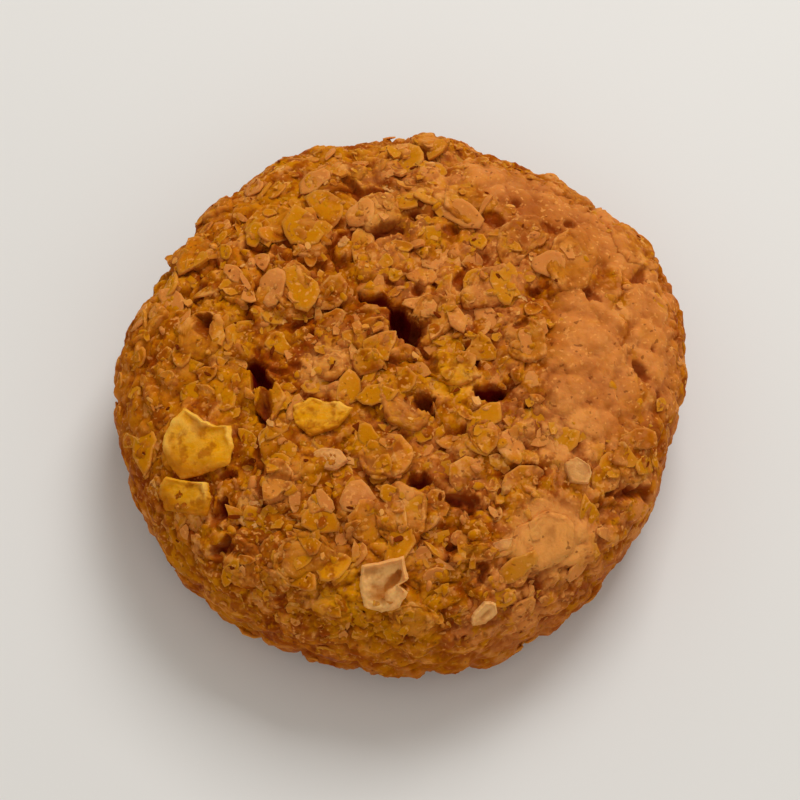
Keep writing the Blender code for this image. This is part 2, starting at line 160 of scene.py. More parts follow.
# Small light scraps of flake that are too fine for the solid: across x and y, length, width, turn in degrees
LIGHT_BITS = (
    (-5.7, -8.3, 2.9, 1.7, -10), (-11.2, -11.4, 1.9, 1.6, 30), (-3.6, -2.8, 1.9, 0.7, -55),
    (-4.6, 10.1, 1.2, 0.9, 60), (-0.8, 15.6, 1.5, 0.9, -20), (-10.6, -6.6, 1.5, 0.9, 75),
    (-11.9, -13.2, 1.7, 0.8, -25), (-6.6, -11.8, 1.0, 0.9, 0), (9.4, 5.2, 1.6, 0.7, -40),
    (7.9, -15.1, 3.0, 0.9, 15),
)
BIT_STANDS_OUT = 0.12

# More large flakes, spread over the rest as the solid has them
MORE_FLAKES = 24
FLAKE_TRIES = 150
LOWEST_FLAKE = -0.55
FLAKE_CLEARANCE = 4.4
FLAKE_LENGTHS = (3.6, 5.6)
FLAKE_WIDTH_SHARES = (0.62, 0.9)
FLAKE_STAND_OUTS = (0.05, 0.3)
FLAKE_SEED = 11
FLAKE_THICKNESS = 1.1
EDGE_WAVES = ((2, 0.10), (3, 0.07))
SIDE_SLOPE = 0.8
SLOPE_STEP = 1e-3

# Finer layers of broken pieces: size, lean, dome, step, groove depth, groove width, seed
CRAG_SHARE = 0.6  # how much of the solid's large crags is left, because the finer layers break them up
SHARDS = (2.1, 0.50, 0.16, 0.34, 0.34, 0.10, 71)
GRAINS = (1.0, 0.24, 0.12, 0.14, 0.16, 0.14, 91)
SIDE_CALM = 0.6  # the share of the relief that is missing where the side stands upright
CALM_SIZE, CALM_SWING, CALM_SALT = 8.0, 0.9, 111  # how far apart smoother and rougher places lie, and differ
UPRIGHT_FADES = 1.4  # how fast the side stops counting as upright where it turns up or down
DOME_MIDDLE = 0.4  # the level of a dome's middle, so that it is raised there and lowered at its edge
ROUGH_SHARE = 0.5  # how strong the finer layers are in the smoother places
FINE_SMOOTHING = 0.68  # the share of the finer layers that is missing in a smooth stretch
FUZZ_SIZE, FUZZ_DEPTH, FUZZ_SALT = 0.55, 0.07, 121
PORE_SIZE, PORE_RADIUS, PORE_DEPTH, PORE_SHARE, PORE_SALT = 2.6, 0.17, 0.75, 0.4, 131
PIT_RAGGED_SIZE, PIT_RAGGED_SHARE, PIT_SALT = 1.3, 0.34, 61
PIT_CRUMB_SIZE, PIT_CRUMB_SHARE = 0.7, 0.45  # smaller lumps on a hole's wall
PIT_SLOPE = 0.3  # holes and cracks are only where the surface faces up more than this
BASE_RISE = 0.02  # how far the underside's fine relief is lowered, so that only its hollows show
COVER_SIZE, COVER_DEPTH, COVER_SALT = 2.4, 0.45, 141  # how the dough has run over the edges of the large flakes
TONE_SHARES = (0.30, 0.42, 0.28)  # how much of a lump's tone comes from its crag, its shard and its grain
GROOVE_SHADE, PIT_SHADE = 0.4, 1.5  # how dark a groove and a hole count against a gap of the finer layers
UNDERSIDE_SLOPE = -0.95
PROFILE_STEPS = 2400

# Large flakes: their broken and torn outline, the crease along each, and the wrinkles of its upper side
FLAKE_FLATNESS = 0.45  # 1 is a ball, and less has a flatter top and a blunter edge
FLAKE_LOWERED = 0.16  # how much lower than on the solid a toasted flake lies
FLAKE_CHIPPED_SHARE = 0.7  # how much of the outline is straight broken sides, against a smooth oval
CORNER_REACHES = (0.75, 1.35)  # how far out a chip's corners lie, against its half length
RIM_AT, RIM_WIDTH = 0.88, 0.08  # where a flake's raised rim is, from its middle to its edge
CURL_SIDE = math.radians(60)  # the side where a flake's edge turns up most
FLAKE_TORN_SHARE, FRAYED_SHARE = 0.06, 0.5
FLAKE_CREASE_WIDTH, CREASE_WANDER, CREASE_WANDER_SIZE = 0.25, 0.35, 1.8
FLAKE_CRUST_SHARE = 0.5  # how much of the shards' height a crusted flake has
CREASE_START, CREASE_FADES = 1.4, 1.6  # a crease is full in a flake's middle, and fades to its end
CURL_FADES, CURL_LESS = 1.6, 0.6  # how fast the edge's curl ends on the side
# A flake's rise sets its painted highlight, so a curl's rise lightens its turned-up edge
CURL_RISE = 0.6  # how much of a curl's height counts as rise, for the colours
CRUSTED_TONES, BARE_TONES = (0.6, 0.4), (0.35, 0.5)  # shares of shard and grain, and of its own number and edge
FLAKE_TOP_AT, FAR_BELOW = 0.95, -9.0  # what lies on a flake is that far in from its edge at least
WRINKLES = ((1.5, 1.0, 2), (0.6, 0.5, 3), (0.32, 0.35, 4))  # size, share, seed
FLAKE_SALT = 151
LEAST_HEIGHT = 0.02  # nothing that lies on the side reaches below this
MOST_HEIGHT = 15.3  # no small thing reaches above this


class FlakeLook(NamedTuple):
    """How a large flake is made."""

    curl: float  # how far its edge turns up, in millimetres
    crease: float  # how deep the crease along it is
    crusted: float  # how much of the dough's own broken surface covers it
    wrinkled: float  # how high its wrinkles are
    corners: tuple  # as shares of half its length and width, or none, to draw them
    thin: float  # its thickness, as a share of the solid's
    browned: float  # how browned it is all over
    rim: float  # how far its rim stands up, as a share of the curl


GOLDEN_CORNERS = (
    (0.90, 0.32), (0.56, 0.36), (0.12, 0.62), (-0.34, 1.02), (-0.68, 0.59), (-0.98, 0.05),
    (-0.88, -0.47), (-0.49, -0.92), (0.30, -0.85), (0.85, -0.75), (0.98, -0.27),
)
FOLDED_CORNERS = (
    (0.78, 0.79), (-0.76, 1.07), (-1.04, 0.35), (-0.76, -0.92), (-0.01, -0.99), (0.83, -1.18), (0.97, -0.12),
)
PALE_CORNERS = (
    (0.58, -0.03), (0.92, 0.12), (0.84, 0.94), (-0.07, 0.86), (-0.73, 0.80), (-0.82, 0.14),
    (-0.70, -0.65), (-0.2, -0.94), (0.45, -0.82), (0.82, -0.34),
)
MIDDLE_CORNERS = (
    (1.05, 0.4), (0.75, 1.0), (0.2, 1.2), (-0.25, 1.75), (-0.9, 1.35), (-0.95, 0.3), (-0.5, -0.6), (0.4, -0.5),
)
TOASTED_LOOK = FlakeLook(0.25, 0.1, 0.9, 0.05, (), 1.0, 0.0, 0.3)
SCRAP_LOOK = FlakeLook(0.1, 0.0, 0.4, 0.05, (), 0.5, 0.0, 0.5)
BARE_LOOKS = {
    "golden_flakes": {
        "golden flake": FlakeLook(0.28, 0.0, 0.15, 0.14, GOLDEN_CORNERS, 0.5, 0.12, 0.9),
        "folded golden flake": FlakeLook(0.28, 0.0, 0.25, 0.16, FOLDED_CORNERS, 0.65, 0.35, 0.9),
        "flake left of the middle": FlakeLook(0.2, 0.0, 0.6, 0.14, MIDDLE_CORNERS, 0.7, 0.12, 0.5),
    },
    "pale_flakes": {
        "pale curled flake": FlakeLook(0.5, 0.3, 0.15, 0.24, PALE_CORNERS, 0.7, -0.2, 0.8),
        "pale oval flake": FlakeLook(0.3, 0.0, 0.3, 0.06, (), 0.7, 0.5, 0.4),
        "pale edge flake": FlakeLook(0.3, 0.2, 0.1, 0.1, (), 0.7, 0.0, 0.6),
    },
}
# Each piece of large flakes: the squares of a flake, its material, the colours of a flake's middle, edge and crease,
# and how much it is crusted and stained. The edge colour is also painted as a highlight on the rim, and the crease
# colour as shade in the crease and the gaps.
FLAKE_PIECES = {
    "oat_flakes": (16, "toasted_oat", "toasted_oat", "oat_edge", "dark_dough", 0.9, 0.5),
    "golden_flakes": (28, "golden_oat", "golden_oat", "golden_edge", "dough", 0.15, 0.75),
    "pale_flakes": (28, "pale_oat", "pale_oat", "oat_edge", "dough", 0.2, 0.45),
    "light_scraps": (16, "light_oat", "oat_edge", "pale_oat", "stain", 0.4, 0.35),
}

# How the small things lie: down to this share of the way to the foot, and not in a deep hole
LAST_CRUMB_AT = 0.95
CRAG_STRIDE = 0.5  # the slope of a crag is measured over this length
MOST_CREVICE = 0.8
MOST_PIT = 0.25
HOLE_MARGIN = 0.35  # how much wider a hole counts for the small things, as a share of the longest of them
MOST_LOST = 0.95  # the share of the small things that a smooth stretch goes without
MOST_SEAT = 0.3
TURN_SPREAD = 0.06  # how far, in radians, a thing may lie from its even place
SIDE_LOST = 0.5  # the share that the upright side goes without
SIDE_FROM = 1.3  # how fast the side's share grows as the surface turns down from level
SIDE_LEVEL = 0.9  # how much less a thing leans on the side
SIDE_SHORTER = 0.5  # how much shorter it is there
SHOULDER_BEND = 0.06  # how far a thing's ends bend down there, for each square millimetre of their way out
SIDE_SUNK = 0.5  # the share of its thickness that it is sunk deeper there
CRISP_EDGE = math.radians(38)  # the facets of a chip meet in a sharp edge from this angle

# The small things of each piece: sizes in millimetres, shares of their own length or thickness, and for the colours a
# material and the stops of its tone. Where it is plain, its colour varies only between them.
SMALL_THINGS = {
    "small_oat_flakes": {
        "seed": 201, "around": 12, "rings": 5, "corners": 6, "lean": 0.16, "crisp": False, "cup": 0.12,
        "length": (1.8, 4.4), "width_share": (0.45, 0.9), "thick_share": (0.1, 0.16), "thick": (0.26, 0.42),
        "uneven": 0.14, "squareness": 0.55, "sunk": 0.95, "curl": 0.08, "material": "small_oat", "plain": False,
        "stops": ((0.1, "dough"), (0.45, "light_dough"), (0.7, "toasted_oat"), (0.95, "oat_edge")),
    },
    "crust_chips": {
        "seed": 601, "around": 8, "rings": 3, "corners": 5, "lean": 0.4, "crisp": True, "cup": 0.05,
        "length": (0.7, 2.6), "width_share": (0.3, 0.85), "thick_share": (0.14, 0.24), "thick": (0.16, 0.36),
        "uneven": 0.16, "squareness": 0.6, "sunk": 0.85, "curl": 0.12, "material": "crust_chip", "plain": False,
        "stops": ((0.1, "dough"), (0.4, "light_dough"), (0.7, "toasted_oat"), (0.95, "oat_edge")),
    },
    "dough_crumbs": {
        "seed": 301, "around": 8, "rings": 5, "corners": 5, "lean": 0.3, "crisp": False, "cup": 0.0,
        "length": (0.4, 1.5), "width_share": (0.5, 1.0), "thick_share": (0.4, 0.7), "thick": (0.25, 0.7),
        "uneven": 0.16, "squareness": 0.85, "sunk": 0.74, "curl": 0.0, "material": "dough_crumb", "plain": False,
        "stops": ((0.1, "dark_dough"), (0.4, "dough"), (0.7, "light_dough"), (0.95, "pale_crumb_and_highlight")),
    },
    "bran_specks": {
        "seed": 401, "around": 7, "rings": 4, "corners": 5, "lean": 0.25, "crisp": True, "cup": 0.0,
        "length": (0.5, 1.2), "width_share": (0.3, 0.7), "thick_share": (0.12, 0.2), "thick": (0.1, 0.2),
        "uneven": 0.15, "squareness": 0.6, "sunk": 0.35, "curl": 0.1, "material": "bran_husk", "plain": True,
        "stops": ((0.1, "bran"), (0.8, "dark_dough")),
    },
    "pale_oat_chips": {
        "seed": 501, "around": 8, "rings": 3, "corners": 4, "lean": 0.3, "crisp": True, "cup": 0.0,
        "length": (0.6, 1.5), "width_share": (0.4, 0.9), "thick_share": (0.2, 0.4), "thick": (0.18, 0.4),
        "uneven": 0.13, "squareness": 0.65, "sunk": 0.5, "curl": 0.1, "material": "pale_chip", "plain": True,
        "stops": ((0.1, "toasted_oat"), (0.8, "oat_edge")),
    },
}
LENGTH_SPREAD = (0.75, 1.0)
SECOND_WAVE, LUMP_WAVE = 0.8, 1.2  # against the unevenness of a small thing's edge
OWN_TONE, DOUGH_TONE = 0.6, 0.4  # how much of its tone is its own, and how much that of the dough under it
UNDER_SHADE = 0.5


class Pattern(NamedTuple):
    """Noise as a share: its size in millimetres, where the share starts and is full, and the share at both ends."""

    size: float
    low: float
    high: float
    least: float = 0.0
    most: float = 1.0
    detail: float = 3.0
    roughness: float = 0.6
    move: float = 0.0
    drawn_out: tuple = (1.0, 1.0, 1.0)  # less than 1 along the axis that it is drawn out along


MOTTLE = Pattern(1.4, 0.34, 0.66, -0.3, 0.3)
GOLDEN_PATCHES = Pattern(6.0, 0.44, 0.6)
TAN_PATCHES = Pattern(6.0, 0.56, 0.4, 0.0, 0.8)
FINE_GOLDEN = Pattern(1.0, 0.53, 0.64, 0.0, 0.85, 2.0, move=11.0)
FINE_TAN = Pattern(1.0, 0.46, 0.35, detail=2.0, move=11.0)
STAINS = Pattern(1.6, 0.5, 0.64, 0.0, 0.75, move=13.0)
BRAN_FLECKS = Pattern(0.5, 0.67, 0.74, 0.0, 0.6, 1.0, 0.5, 3.0)
# Pale flecks of oat, partly painted glints
PALE_FLECKS_AND_GLINTS = Pattern(0.4, 0.61, 0.7, 0.0, 0.7, 1.0, 0.5, 5.0)
CHIP_STREAKS = Pattern(0.5, 0.35, 0.65, 0.0, 0.4)
FLAKE_STREAKS = Pattern(0.5, 0.35, 0.65, 0.0, 0.3, 4.0, 0.65, drawn_out=(0.35, 1.0, 1.0))
FLAKE_STAINS = Pattern(1.6, 0.48, 0.62, move=17.0)
FLAKE_CRUST = Pattern(3.0, 0.35, 0.65, move=2.0)
DOUGH_ROUGHNESS = Pattern(1.4, 0.35, 0.65, 0.34, 0.72, 2.0, 0.5, 9.0)
CRUMB_ROUGHNESS = Pattern(0.28, 0.35, 0.65, 0.34, 0.7, 2.0, 0.5)
CHIP_ROUGHNESS = Pattern(0.28, 0.3, 0.7, 0.45, 0.7, 2.0, 0.5)
FLAKE_ROUGHNESS = Pattern(0.5, 0.3, 0.7, 0.45, 0.7, 2.0, 0.5, 7.0)
FLOOR_CLOUDS = Pattern(40.0, 0.3, 0.7, 0.0, 0.04, 3.0, 0.5)
# The crumb's bump: size, detail, strength, and depth as a share of the material's own
BUMPS = ((0.28, 3.0, 0.6, 1.0), (0.11, 2.0, 0.5, 1 / 3))
BUMP_ROUGHNESS = 0.6
DOUGH_BUMP, FLAKE_BUMP, CRUMB_BUMP, CHIP_BUMP = 0.14, 0.13, 0.09, 0.05  # in millimetres

# Ranges of a place's own values: where a colour's share starts and is full, and its share at both ends
LEFT_TO_RIGHT = (-0.012, 0.014)
GOLDEN_TO_THE_LEFT = (0.014, -0.012, 0.2, 0.9)
# Tan to the right is partly the dough's own colour and partly painted sheen
TAN_AND_SHEEN_TO_THE_RIGHT = (0.0, 1.0, 0.35, 0.85)
CALM_IS_TAN = (0.2, 0.9, 0.0, 0.8)
CALM_IS_LESS_GOLDEN, CALM_IS_LESS_STAINED = (0.2, 0.9, 1.0, 0.2), (0.2, 0.9, 1.0, 0.3)
# Towards the bottom of the side the dough is painted darker; higher up it has more pale flecks
LOW_IS_DARKER, FLECKS_BY_HEIGHT = (0.0095, 0.002, 0.0, 0.5), (0.002, 0.011, 0.2, 1.0)
BASE_CRUST = (0.0022, 0.0001, 0.0, 0.7)
# Painted highlight on the crests of the relief and round the edges of the small things
CREST_HIGHLIGHT_RANGE, CREST_HIGHLIGHT_SHARE = (0.02, 0.42), 0.4  # how far a place rises, in millimetres, where it starts to be paler
# Painted shade, darker and redder, in crevices and at the bottom of the deep holes
CREVICE_SHADE_RANGE, DEEP_HOLE_SHADE_RANGE = (0.05, 0.6, 0.0), (0.8, 2.0)
DOUGH_HOLLOWS, FLAKE_HOLLOWS, CRUMB_HOLLOWS = 0.75, 0.6, 0.5  # how dark a crack is in each
LEAST_CRUST = 0.5  # where a flake is least crusted, as a share of where it is most
GOLDEN_HUES, TAN_HUES = (0.5, 0.2, 0.0, 0.85), (0.72, 0.86, 0.0, 0.75)
# Painted shade on the underside of each chip
CHIP_UNDERSIDE_SHADE = (0.1, 0.5, 0.0, 0.5)
FLAKE_BROWNED, FLAKE_CALM = (0.4, 1.0, 0.0), (0.2, 0.7, 0.0)
# Painted highlight on a flake's rim and wrinkles, and painted shade in its crease and gaps
FLAKE_RIM_HIGHLIGHT, FLAKE_CREASE = (0.05, 0.28, 0.0, 0.85), (0.03, 0.3, 0.0, 0.85)
DOUGH_STOPS = ((0.14, "dark_dough"), (0.4, "dough"), (0.66, "light_dough"), (0.92, "pale_crumb_and_highlight"))
TINT_CORE = 0.4  # how much of a tinted place's reach is fully tinted

# Places with a colour of their own: the colour, its share, and the place across x and y with its reach. The pale
# crumb at the lower right and the light dough at the left edge are partly the dough's own colour and partly painted
# light on slopes in shade; the stain at the lower right edge is a painted shadow.
TINTED_PLACES = (
    # The pale crumb at 11.8, -14.3 is partly painted light on a slope in shade
    ("pale_crumb_and_highlight", 0.9, 11.8, -14.3, 4.5), ("golden_crumb", 0.5, -17.5, 4.0, 6.5), ("dough", 0.5, -8.0, -13.8, 6.0),
    ("dough", 0.75, -7.4, 10.2, 3.6), ("stain", 0.45, -4.4, 5.0, 3.6), ("stain", 0.4, -9.8, -6.8, 2.6),
    ("tan_crumb", 0.6, -9.3, -10.2, 2.6), ("dough", 0.45, 13.0, 9.5, 5.5), ("pale_crumb_and_highlight", 0.2, 1.0, 17.0, 7.0),
    ("pale_crumb_and_highlight", 0.45, -2.0, 12.2, 2.6), ("light_dough", 0.4, -12.5, 11.5, 8.0),
    # The light dough at -21.0, -1.0 is partly painted light on the shaded left edge
    ("light_dough", 0.5, -21.0, -1.0, 9.0), ("golden_crumb", 0.6, -2.0, -18.6, 7.5),
    ("pale_crumb_and_highlight", 0.7, -5.5, -0.9, 3.0), ("stain", 0.5, 9.8, 12.6, 4.2), ("pale_crumb_and_highlight", 0.5, 12.6, -6.1, 4.2),
    # The stain at 19.6, -6.0 is a painted shadow at the lower right edge
    ("dough", 0.5, 10.6, 1.9, 3.6), ("stain", 0.4, 19.6, -6.0, 5.5), ("golden_oat", 0.7, 4.0, -1.5, 3.0),
    ("stain", 0.5, 6.0, 0.5, 2.4), ("golden_oat", 0.6, -4.2, -18.6, 3.0),
)

# How baked crumb takes the light
CRUMB_SPECULAR = 0.025
SUBSURFACE_DEPTH = 0.9
SUBSURFACE_REACH = (1.0, 0.32, 0.1)  # red light goes furthest into baked crumb
SUBSURFACE_SHARE = 0.25

# The camera looks down on the cookie at the photograph's angle, and the light comes from beyond it
CAMERA_HEIGHT_ANGLE = 67.0
CAMERA_LENS = 150.0
CAMERA_DISTANCE = 267.0
CAMERA_TARGET = (0.0, 0.0, 6.0)
CAMERA_CLIP = 0.01
# Each light's size and place in metres
LIGHTS = {"key": (0.18, (0.09, 0.22, 0.31)), "fill": (0.35, (0.12, -0.35, 0.35))}
SURROUNDING_COLOUR = (1.0, 0.955, 0.88, 1.0)
FLOOR_REACH, FLOOR_SQUARES = 900.0, 8
FLOOR_CLOUD_COLOUR, FLOOR_ROUGHNESS = (0.6, 0.58, 0.55, 1.0), 0.85

# Whole numbers that mix a cell's place into a random number
MIX_X, MIX_Y, MIX_Z, MIX_SALT, MIX_LAST = 374761393, 668265263, 1440662683, 974634777, 1274126177
GOLDEN_TURN = math.pi * (3 - math.sqrt(5))


def lattice_random(cells, salt):
    """A repeatable number from 0 to 1 for each whole-number cell: its three numbers mixed by an integer hash."""
    mixed = cells[..., 0] * MIX_X + cells[..., 1] * MIX_Y + cells[..., 2] * MIX_Z
    mixed = (mixed + salt * MIX_SALT) & 0xFFFFFFFF
    mixed = ((mixed ^ (mixed >> 13)) * MIX_LAST) & 0xFFFFFFFF
    return ((mixed ^ (mixed >> 16)) & 0xFFFFFF) / 0xFFFFFF


def lattice_row(cells, salt):
    """Three repeatable numbers from 0 to 1 for each cell."""
    return np.stack([lattice_random(cells, salt + axis) for axis in range(3)], axis=-1)


def soft_noise(points, size, salt):
    """Smooth noise from -1 to 1: random values at cell corners, blended across each cell of this size."""
    scaled = points / size
    corner = np.floor(scaled).astype(np.int64)
    share = scaled - corner
    share = share * share * (3 - 2 * share)
    total = np.zeros(len(points))
    for step in np.ndindex(2, 2, 2):
        weight = np.prod(np.where(step, share, 1 - share), axis=-1)
        total += weight * lattice_random(corner + np.array(step), salt)
    return 2 * total - 1


def wandered(points, size, share, salt):
    """The points, each moved by smooth noise up to this share of the size, so that regular cells become ragged."""
    moves = [soft_noise(points, size, salt + axis) for axis in range(3)]
    return points + share * size * np.stack(moves, axis=-1)


def lump_cells(points, size, salt):
    """Distances to the nearest and second nearest seed, in sizes, the nearest seed's cell, and the way from it.

    One seed lies at a random place in each cubic cell of this size.
    """
    scaled = points / size
    home = np.floor(scaled).astype(np.int64)
    nearest = np.full(len(points), np.inf)
    second = np.full(len(points), np.inf)
    winner = home.copy()
    for step in np.ndindex(3, 3, 3):
        cell = home + np.array(step) - 1
        distance = np.linalg.norm(scaled - cell - lattice_row(cell, salt), axis=-1)
        closer = distance < nearest
        second = np.where(closer, nearest, np.minimum(second, distance))
        winner[closer] = cell[closer]
        nearest = np.where(closer, distance, nearest)
    return nearest, second, winner, scaled - winner - lattice_row(winner, salt)


def unit(vectors):
    """The same directions, each of length 1."""
    return vectors / np.linalg.norm(vectors, axis=-1, keepdims=True)


def bell(value, width=1.0):
    """1 where the value is 0, falling to nothing a little beyond this width: e to the power of minus its square."""
    return np.exp(-((value / width) ** 2))


def outline_radius(turn):
    """Radius at each angle round the cookie: a circle and a few waves."""
    share = sum(size * np.cos(waves * (turn - math.radians(crest))) for waves, size, crest in OUTLINE_WAVES)
    return DIAMETER / 2 * (1 + share)


def side_profile():
    """The smooth section from the middle of the top round to the middle of the base, evenly along its length.

    Above the widest place it is a quarter of a superellipse, below it another, cut off flat at the table.
    """
    swing = np.linspace(0, math.pi / 2, PROFILE_STEPS)
    over, up = np.sin(swing), np.cos(swing)
    top_share = over ** (2 / SHOULDER_POWER)
    top_height = WIDEST_AT + (HEIGHT - WIDEST_AT) * up ** (2 / SHOULDER_POWER)
    top_height -= DISH_DEPTH * bell(top_share, DISH_SHARE)
    foot_share = over[::-1] ** (2 / FOOT_POWER)
    foot_height = WIDEST_AT - (WIDEST_AT + BELOW_TABLE) * up[::-1] ** (2 / FOOT_POWER)
    above = foot_height > 0
    share = np.concatenate([top_share, foot_share[above], [0]])
    height = np.concatenate([top_height, foot_height[above], [0]])
    steps = np.hypot(np.diff(share) * DIAMETER / 2, np.diff(height))
    length = np.concatenate([[0], np.cumsum(steps)])
    even = np.linspace(0, length[-1], PROFILE_STEPS)
    share, height = np.interp(even, length, share), np.interp(even, length, height)
    across, down = np.gradient(share * DIAMETER / 2, even), np.gradient(height, even)
    return even / even[-1], share, height, -down, across, length[-2] / length[-1], length[-1]


ALONG, SHARE, SECTION_HEIGHT, NORMAL_OUT, NORMAL_UP, FOOT_AT, SECTION_LENGTH = side_profile()


def smooth_at(place, turn):
    """Points and outward normals on the cookie before any crags, by share of the section's length and by angle."""
    radius = np.interp(place, ALONG, SHARE) * outline_radius(turn)
    out, up = np.interp(place, ALONG, NORMAL_OUT), np.interp(place, ALONG, NORMAL_UP)
    height = np.interp(place, ALONG, SECTION_HEIGHT)
    points = np.stack([radius * np.cos(turn), radius * np.sin(turn), height], axis=-1)
    normals = np.stack([out * np.cos(turn), out * np.sin(turn), up], axis=-1)
    return points, unit(normals)


def foot_swing(turn):
    """How far down from straight up the edge of a cube's bottom face lies, in the direction of each angle."""
    from_face = (turn + math.pi / 4) % (math.pi / 2) - math.pi / 4
    return math.pi - np.arctan(1 / np.cos(from_face))


def smooth_cookie(directions):
    """Points and outward normals before any crags, for directions from the cookie's middle.

    The bottom face of the cube that the directions come from covers the flat base exactly.
    """
    swing = np.arccos(np.clip(directions[:, 2], -1, 1))
    turn = np.arctan2(directions[:, 1], directions[:, 0])
    foot = foot_swing(turn)
    down_side = FOOT_AT * swing / foot
    under_base = 1 - (1 - FOOT_AT) * (math.pi - swing) / (math.pi - foot)
    return smooth_at(np.where(swing < foot, down_side, under_base), turn)


def direction_to_top(x, y):
    """The direction whose smooth point on the top or shoulder lies above this x and y."""
    turn = math.atan2(y, x)
    widest = int(np.argmax(SHARE))
    wanted = math.hypot(x, y) / outline_radius(turn)
    place = np.interp(wanted, SHARE[:widest], ALONG[:widest])
    swing = place / FOOT_AT * foot_swing(turn)
    return np.array([math.sin(swing) * math.cos(turn), math.sin(swing) * math.sin(turn), math.cos(swing)])


def oval_distance(points, x, y, length, width, spin):
    """Squared distance from an oval's middle seen from above: 1 on its edge."""
    angle = math.radians(spin)
    dx, dy = points[:, 0] - x, points[:, 1] - y
    along = (dx * math.cos(angle) + dy * math.sin(angle)) / (length / 2)
    across = (dy * math.cos(angle) - dx * math.sin(angle)) / (width / 2)
    return along**2 + across**2


def calm_share(points, normals, stretches=tuple(SMOOTH_STRETCHES.values())):
    """1 in the middle of each smooth stretch, fading to 0 round it and where the top turns down into the side."""
    calm = np.max([bell(oval_distance(points, *stretch)) for stretch in stretches], axis=0)
    return calm * np.clip(2 * normals[:, 2], 0, 1)


def bare_share(points, normals):
    """The same for the smooth stretches and the patches where the finest crust is missing."""
    return calm_share(points, normals, (*SMOOTH_STRETCHES.values(), *BARE_PATCHES.values()))


def large_flakes():
    """Every large flake as (direction, length, width, turn, stand out): the named ones, then an even spread.

    The spread steps round by the golden angle from the top down the side, and skips what lies too close to another
    or in a smooth stretch.
    """
    flakes = [(direction_to_top(x, y), *rest) for x, y, *rest in SHOWN_FLAKES.values()]
    random = np.random.default_rng(FLAKE_SEED)
    for step in range(FLAKE_TRIES):
        if len(flakes) == len(SHOWN_FLAKES) + MORE_FLAKES:
            break
        up = 1 - (1 - LOWEST_FLAKE) * (step + 0.5) / FLAKE_TRIES
        turn = step * GOLDEN_TURN
        length = random.uniform(*FLAKE_LENGTHS)
        width = length * random.uniform(*FLAKE_WIDTH_SHARES)
        spin = random.uniform(0, 360)
        stand_out = random.uniform(*FLAKE_STAND_OUTS)
        flat = math.sqrt(1 - up * up)
        direction = np.array([flat * math.cos(turn), flat * math.sin(turn), up])
        points, normals = smooth_cookie(np.array([direction] + [flake[0] for flake in flakes]))
        clear = np.linalg.norm(points[1:] - points[0], axis=-1).min() > FLAKE_CLEARANCE
        if clear and calm_share(points[:1], normals[:1])[0] < MOST_CALM:
            flakes.append((direction, length, width, spin, stand_out))
    return flakes


FLAKES = large_flakes()
BARE_NUMBERS = [list(SHOWN_FLAKES).index(name) for looks in BARE_LOOKS.values() for name in looks]
BARE_FLAKES = [FLAKES[number] for number in BARE_NUMBERS]
TOASTED = {number: flake for number, flake in enumerate(FLAKES) if number not in BARE_NUMBERS}


def surface_frame(direction, spin):
    """A place on the smooth cookie, and its long, short and outward axes when turned by this many degrees."""
    points, normals = smooth_cookie(direction[None, :])
    normal = normals[0]
    reference = np.array([0.0, 0.0, 1.0]) if abs(normal[2]) < SIDE_SLOPE else np.array([0.0, 1.0, 0.0])
    level = unit(np.cross(reference, normal))
    uphill = np.cross(normal, level)
    angle = math.radians(spin)
    long_axis = math.cos(angle) * level + math.sin(angle) * uphill
    return points[0], long_axis, np.cross(normal, long_axis), normal


def draped(direction, spin, along, across):
    """Points and normals of the smooth cookie under each place of a flake that is laid over it.

    Each point's step from the flake's middle, in its tangent plane, is turned into a change of direction through
    the surface's own slopes, so that the flake bends over the shoulder instead of standing off it.
    """
    middle, long_axis, short_axis, _ = surface_frame(direction, spin)
    side = unit(np.cross(direction, np.roll(direction, 1) + np.array([0.0, 0.0, 1.0])))
    sides = np.stack([side, np.cross(direction, side)])
    near, _ = smooth_cookie(direction + SLOPE_STEP * sides)
    slopes = (near - middle).T / SLOPE_STEP
    steps = np.outer(along, long_axis) + np.outer(across, short_axis)
    turned = direction + (np.linalg.pinv(slopes) @ steps.T).T @ sides
    return smooth_cookie(unit(turned))


def way_out(points, flake):
    """How far out each point lies over a flake: 0 in its middle and 1 at its edge."""
    direction, length, width, spin, _ = flake
    middle, long_axis, short_axis, _ = surface_frame(direction, spin)
    away = points - middle
    return 2 * np.hypot(away @ long_axis / length, away @ short_axis / width)


def seat_share(points, flakes=tuple(FLAKES)):
    """1 where a large flake lies on the dough, fading to 0 a little outside it."""
    return np.max([np.clip((SEAT_REACH - way_out(points, flake)) / SEAT_FADE, 0, 1) for flake in flakes], axis=0)


def solid_relief(points, normals, seat, strength=1.0):
    """The solid's own relief with its crags at this strength, the depth of its grooves, and each crag's own number."""
    ragged = wandered(points, CRAG_SIZE, WARP_SHARE, WARP_SALT)
    nearest, second, winner, _ = lump_cells(ragged, CRAG_SIZE, CRAG_SALT)
    own = lattice_random(winner, CRAG_SALT + 3)
    crag = CRAG_DEPTH * (0.5 - nearest**2) + CRAG_STEP * (own - 0.5)
    groove = GROOVE_DEPTH * bell(second - nearest, GROOVE_WIDTH)
    rough = (crag - groove) * (SIDE_SHARE + (1 - SIDE_SHARE) * np.abs(normals[:, 2]))
    rough *= strength * (1 - SMOOTHING * calm_share(points, normals))
    swell = SWELL_DEPTH * soft_noise(points, SWELL_SIZE, SWELL_SALT)
    return swell + rough * (1 - seat) + SEAT_LEVEL * seat, groove * (1 - seat), own


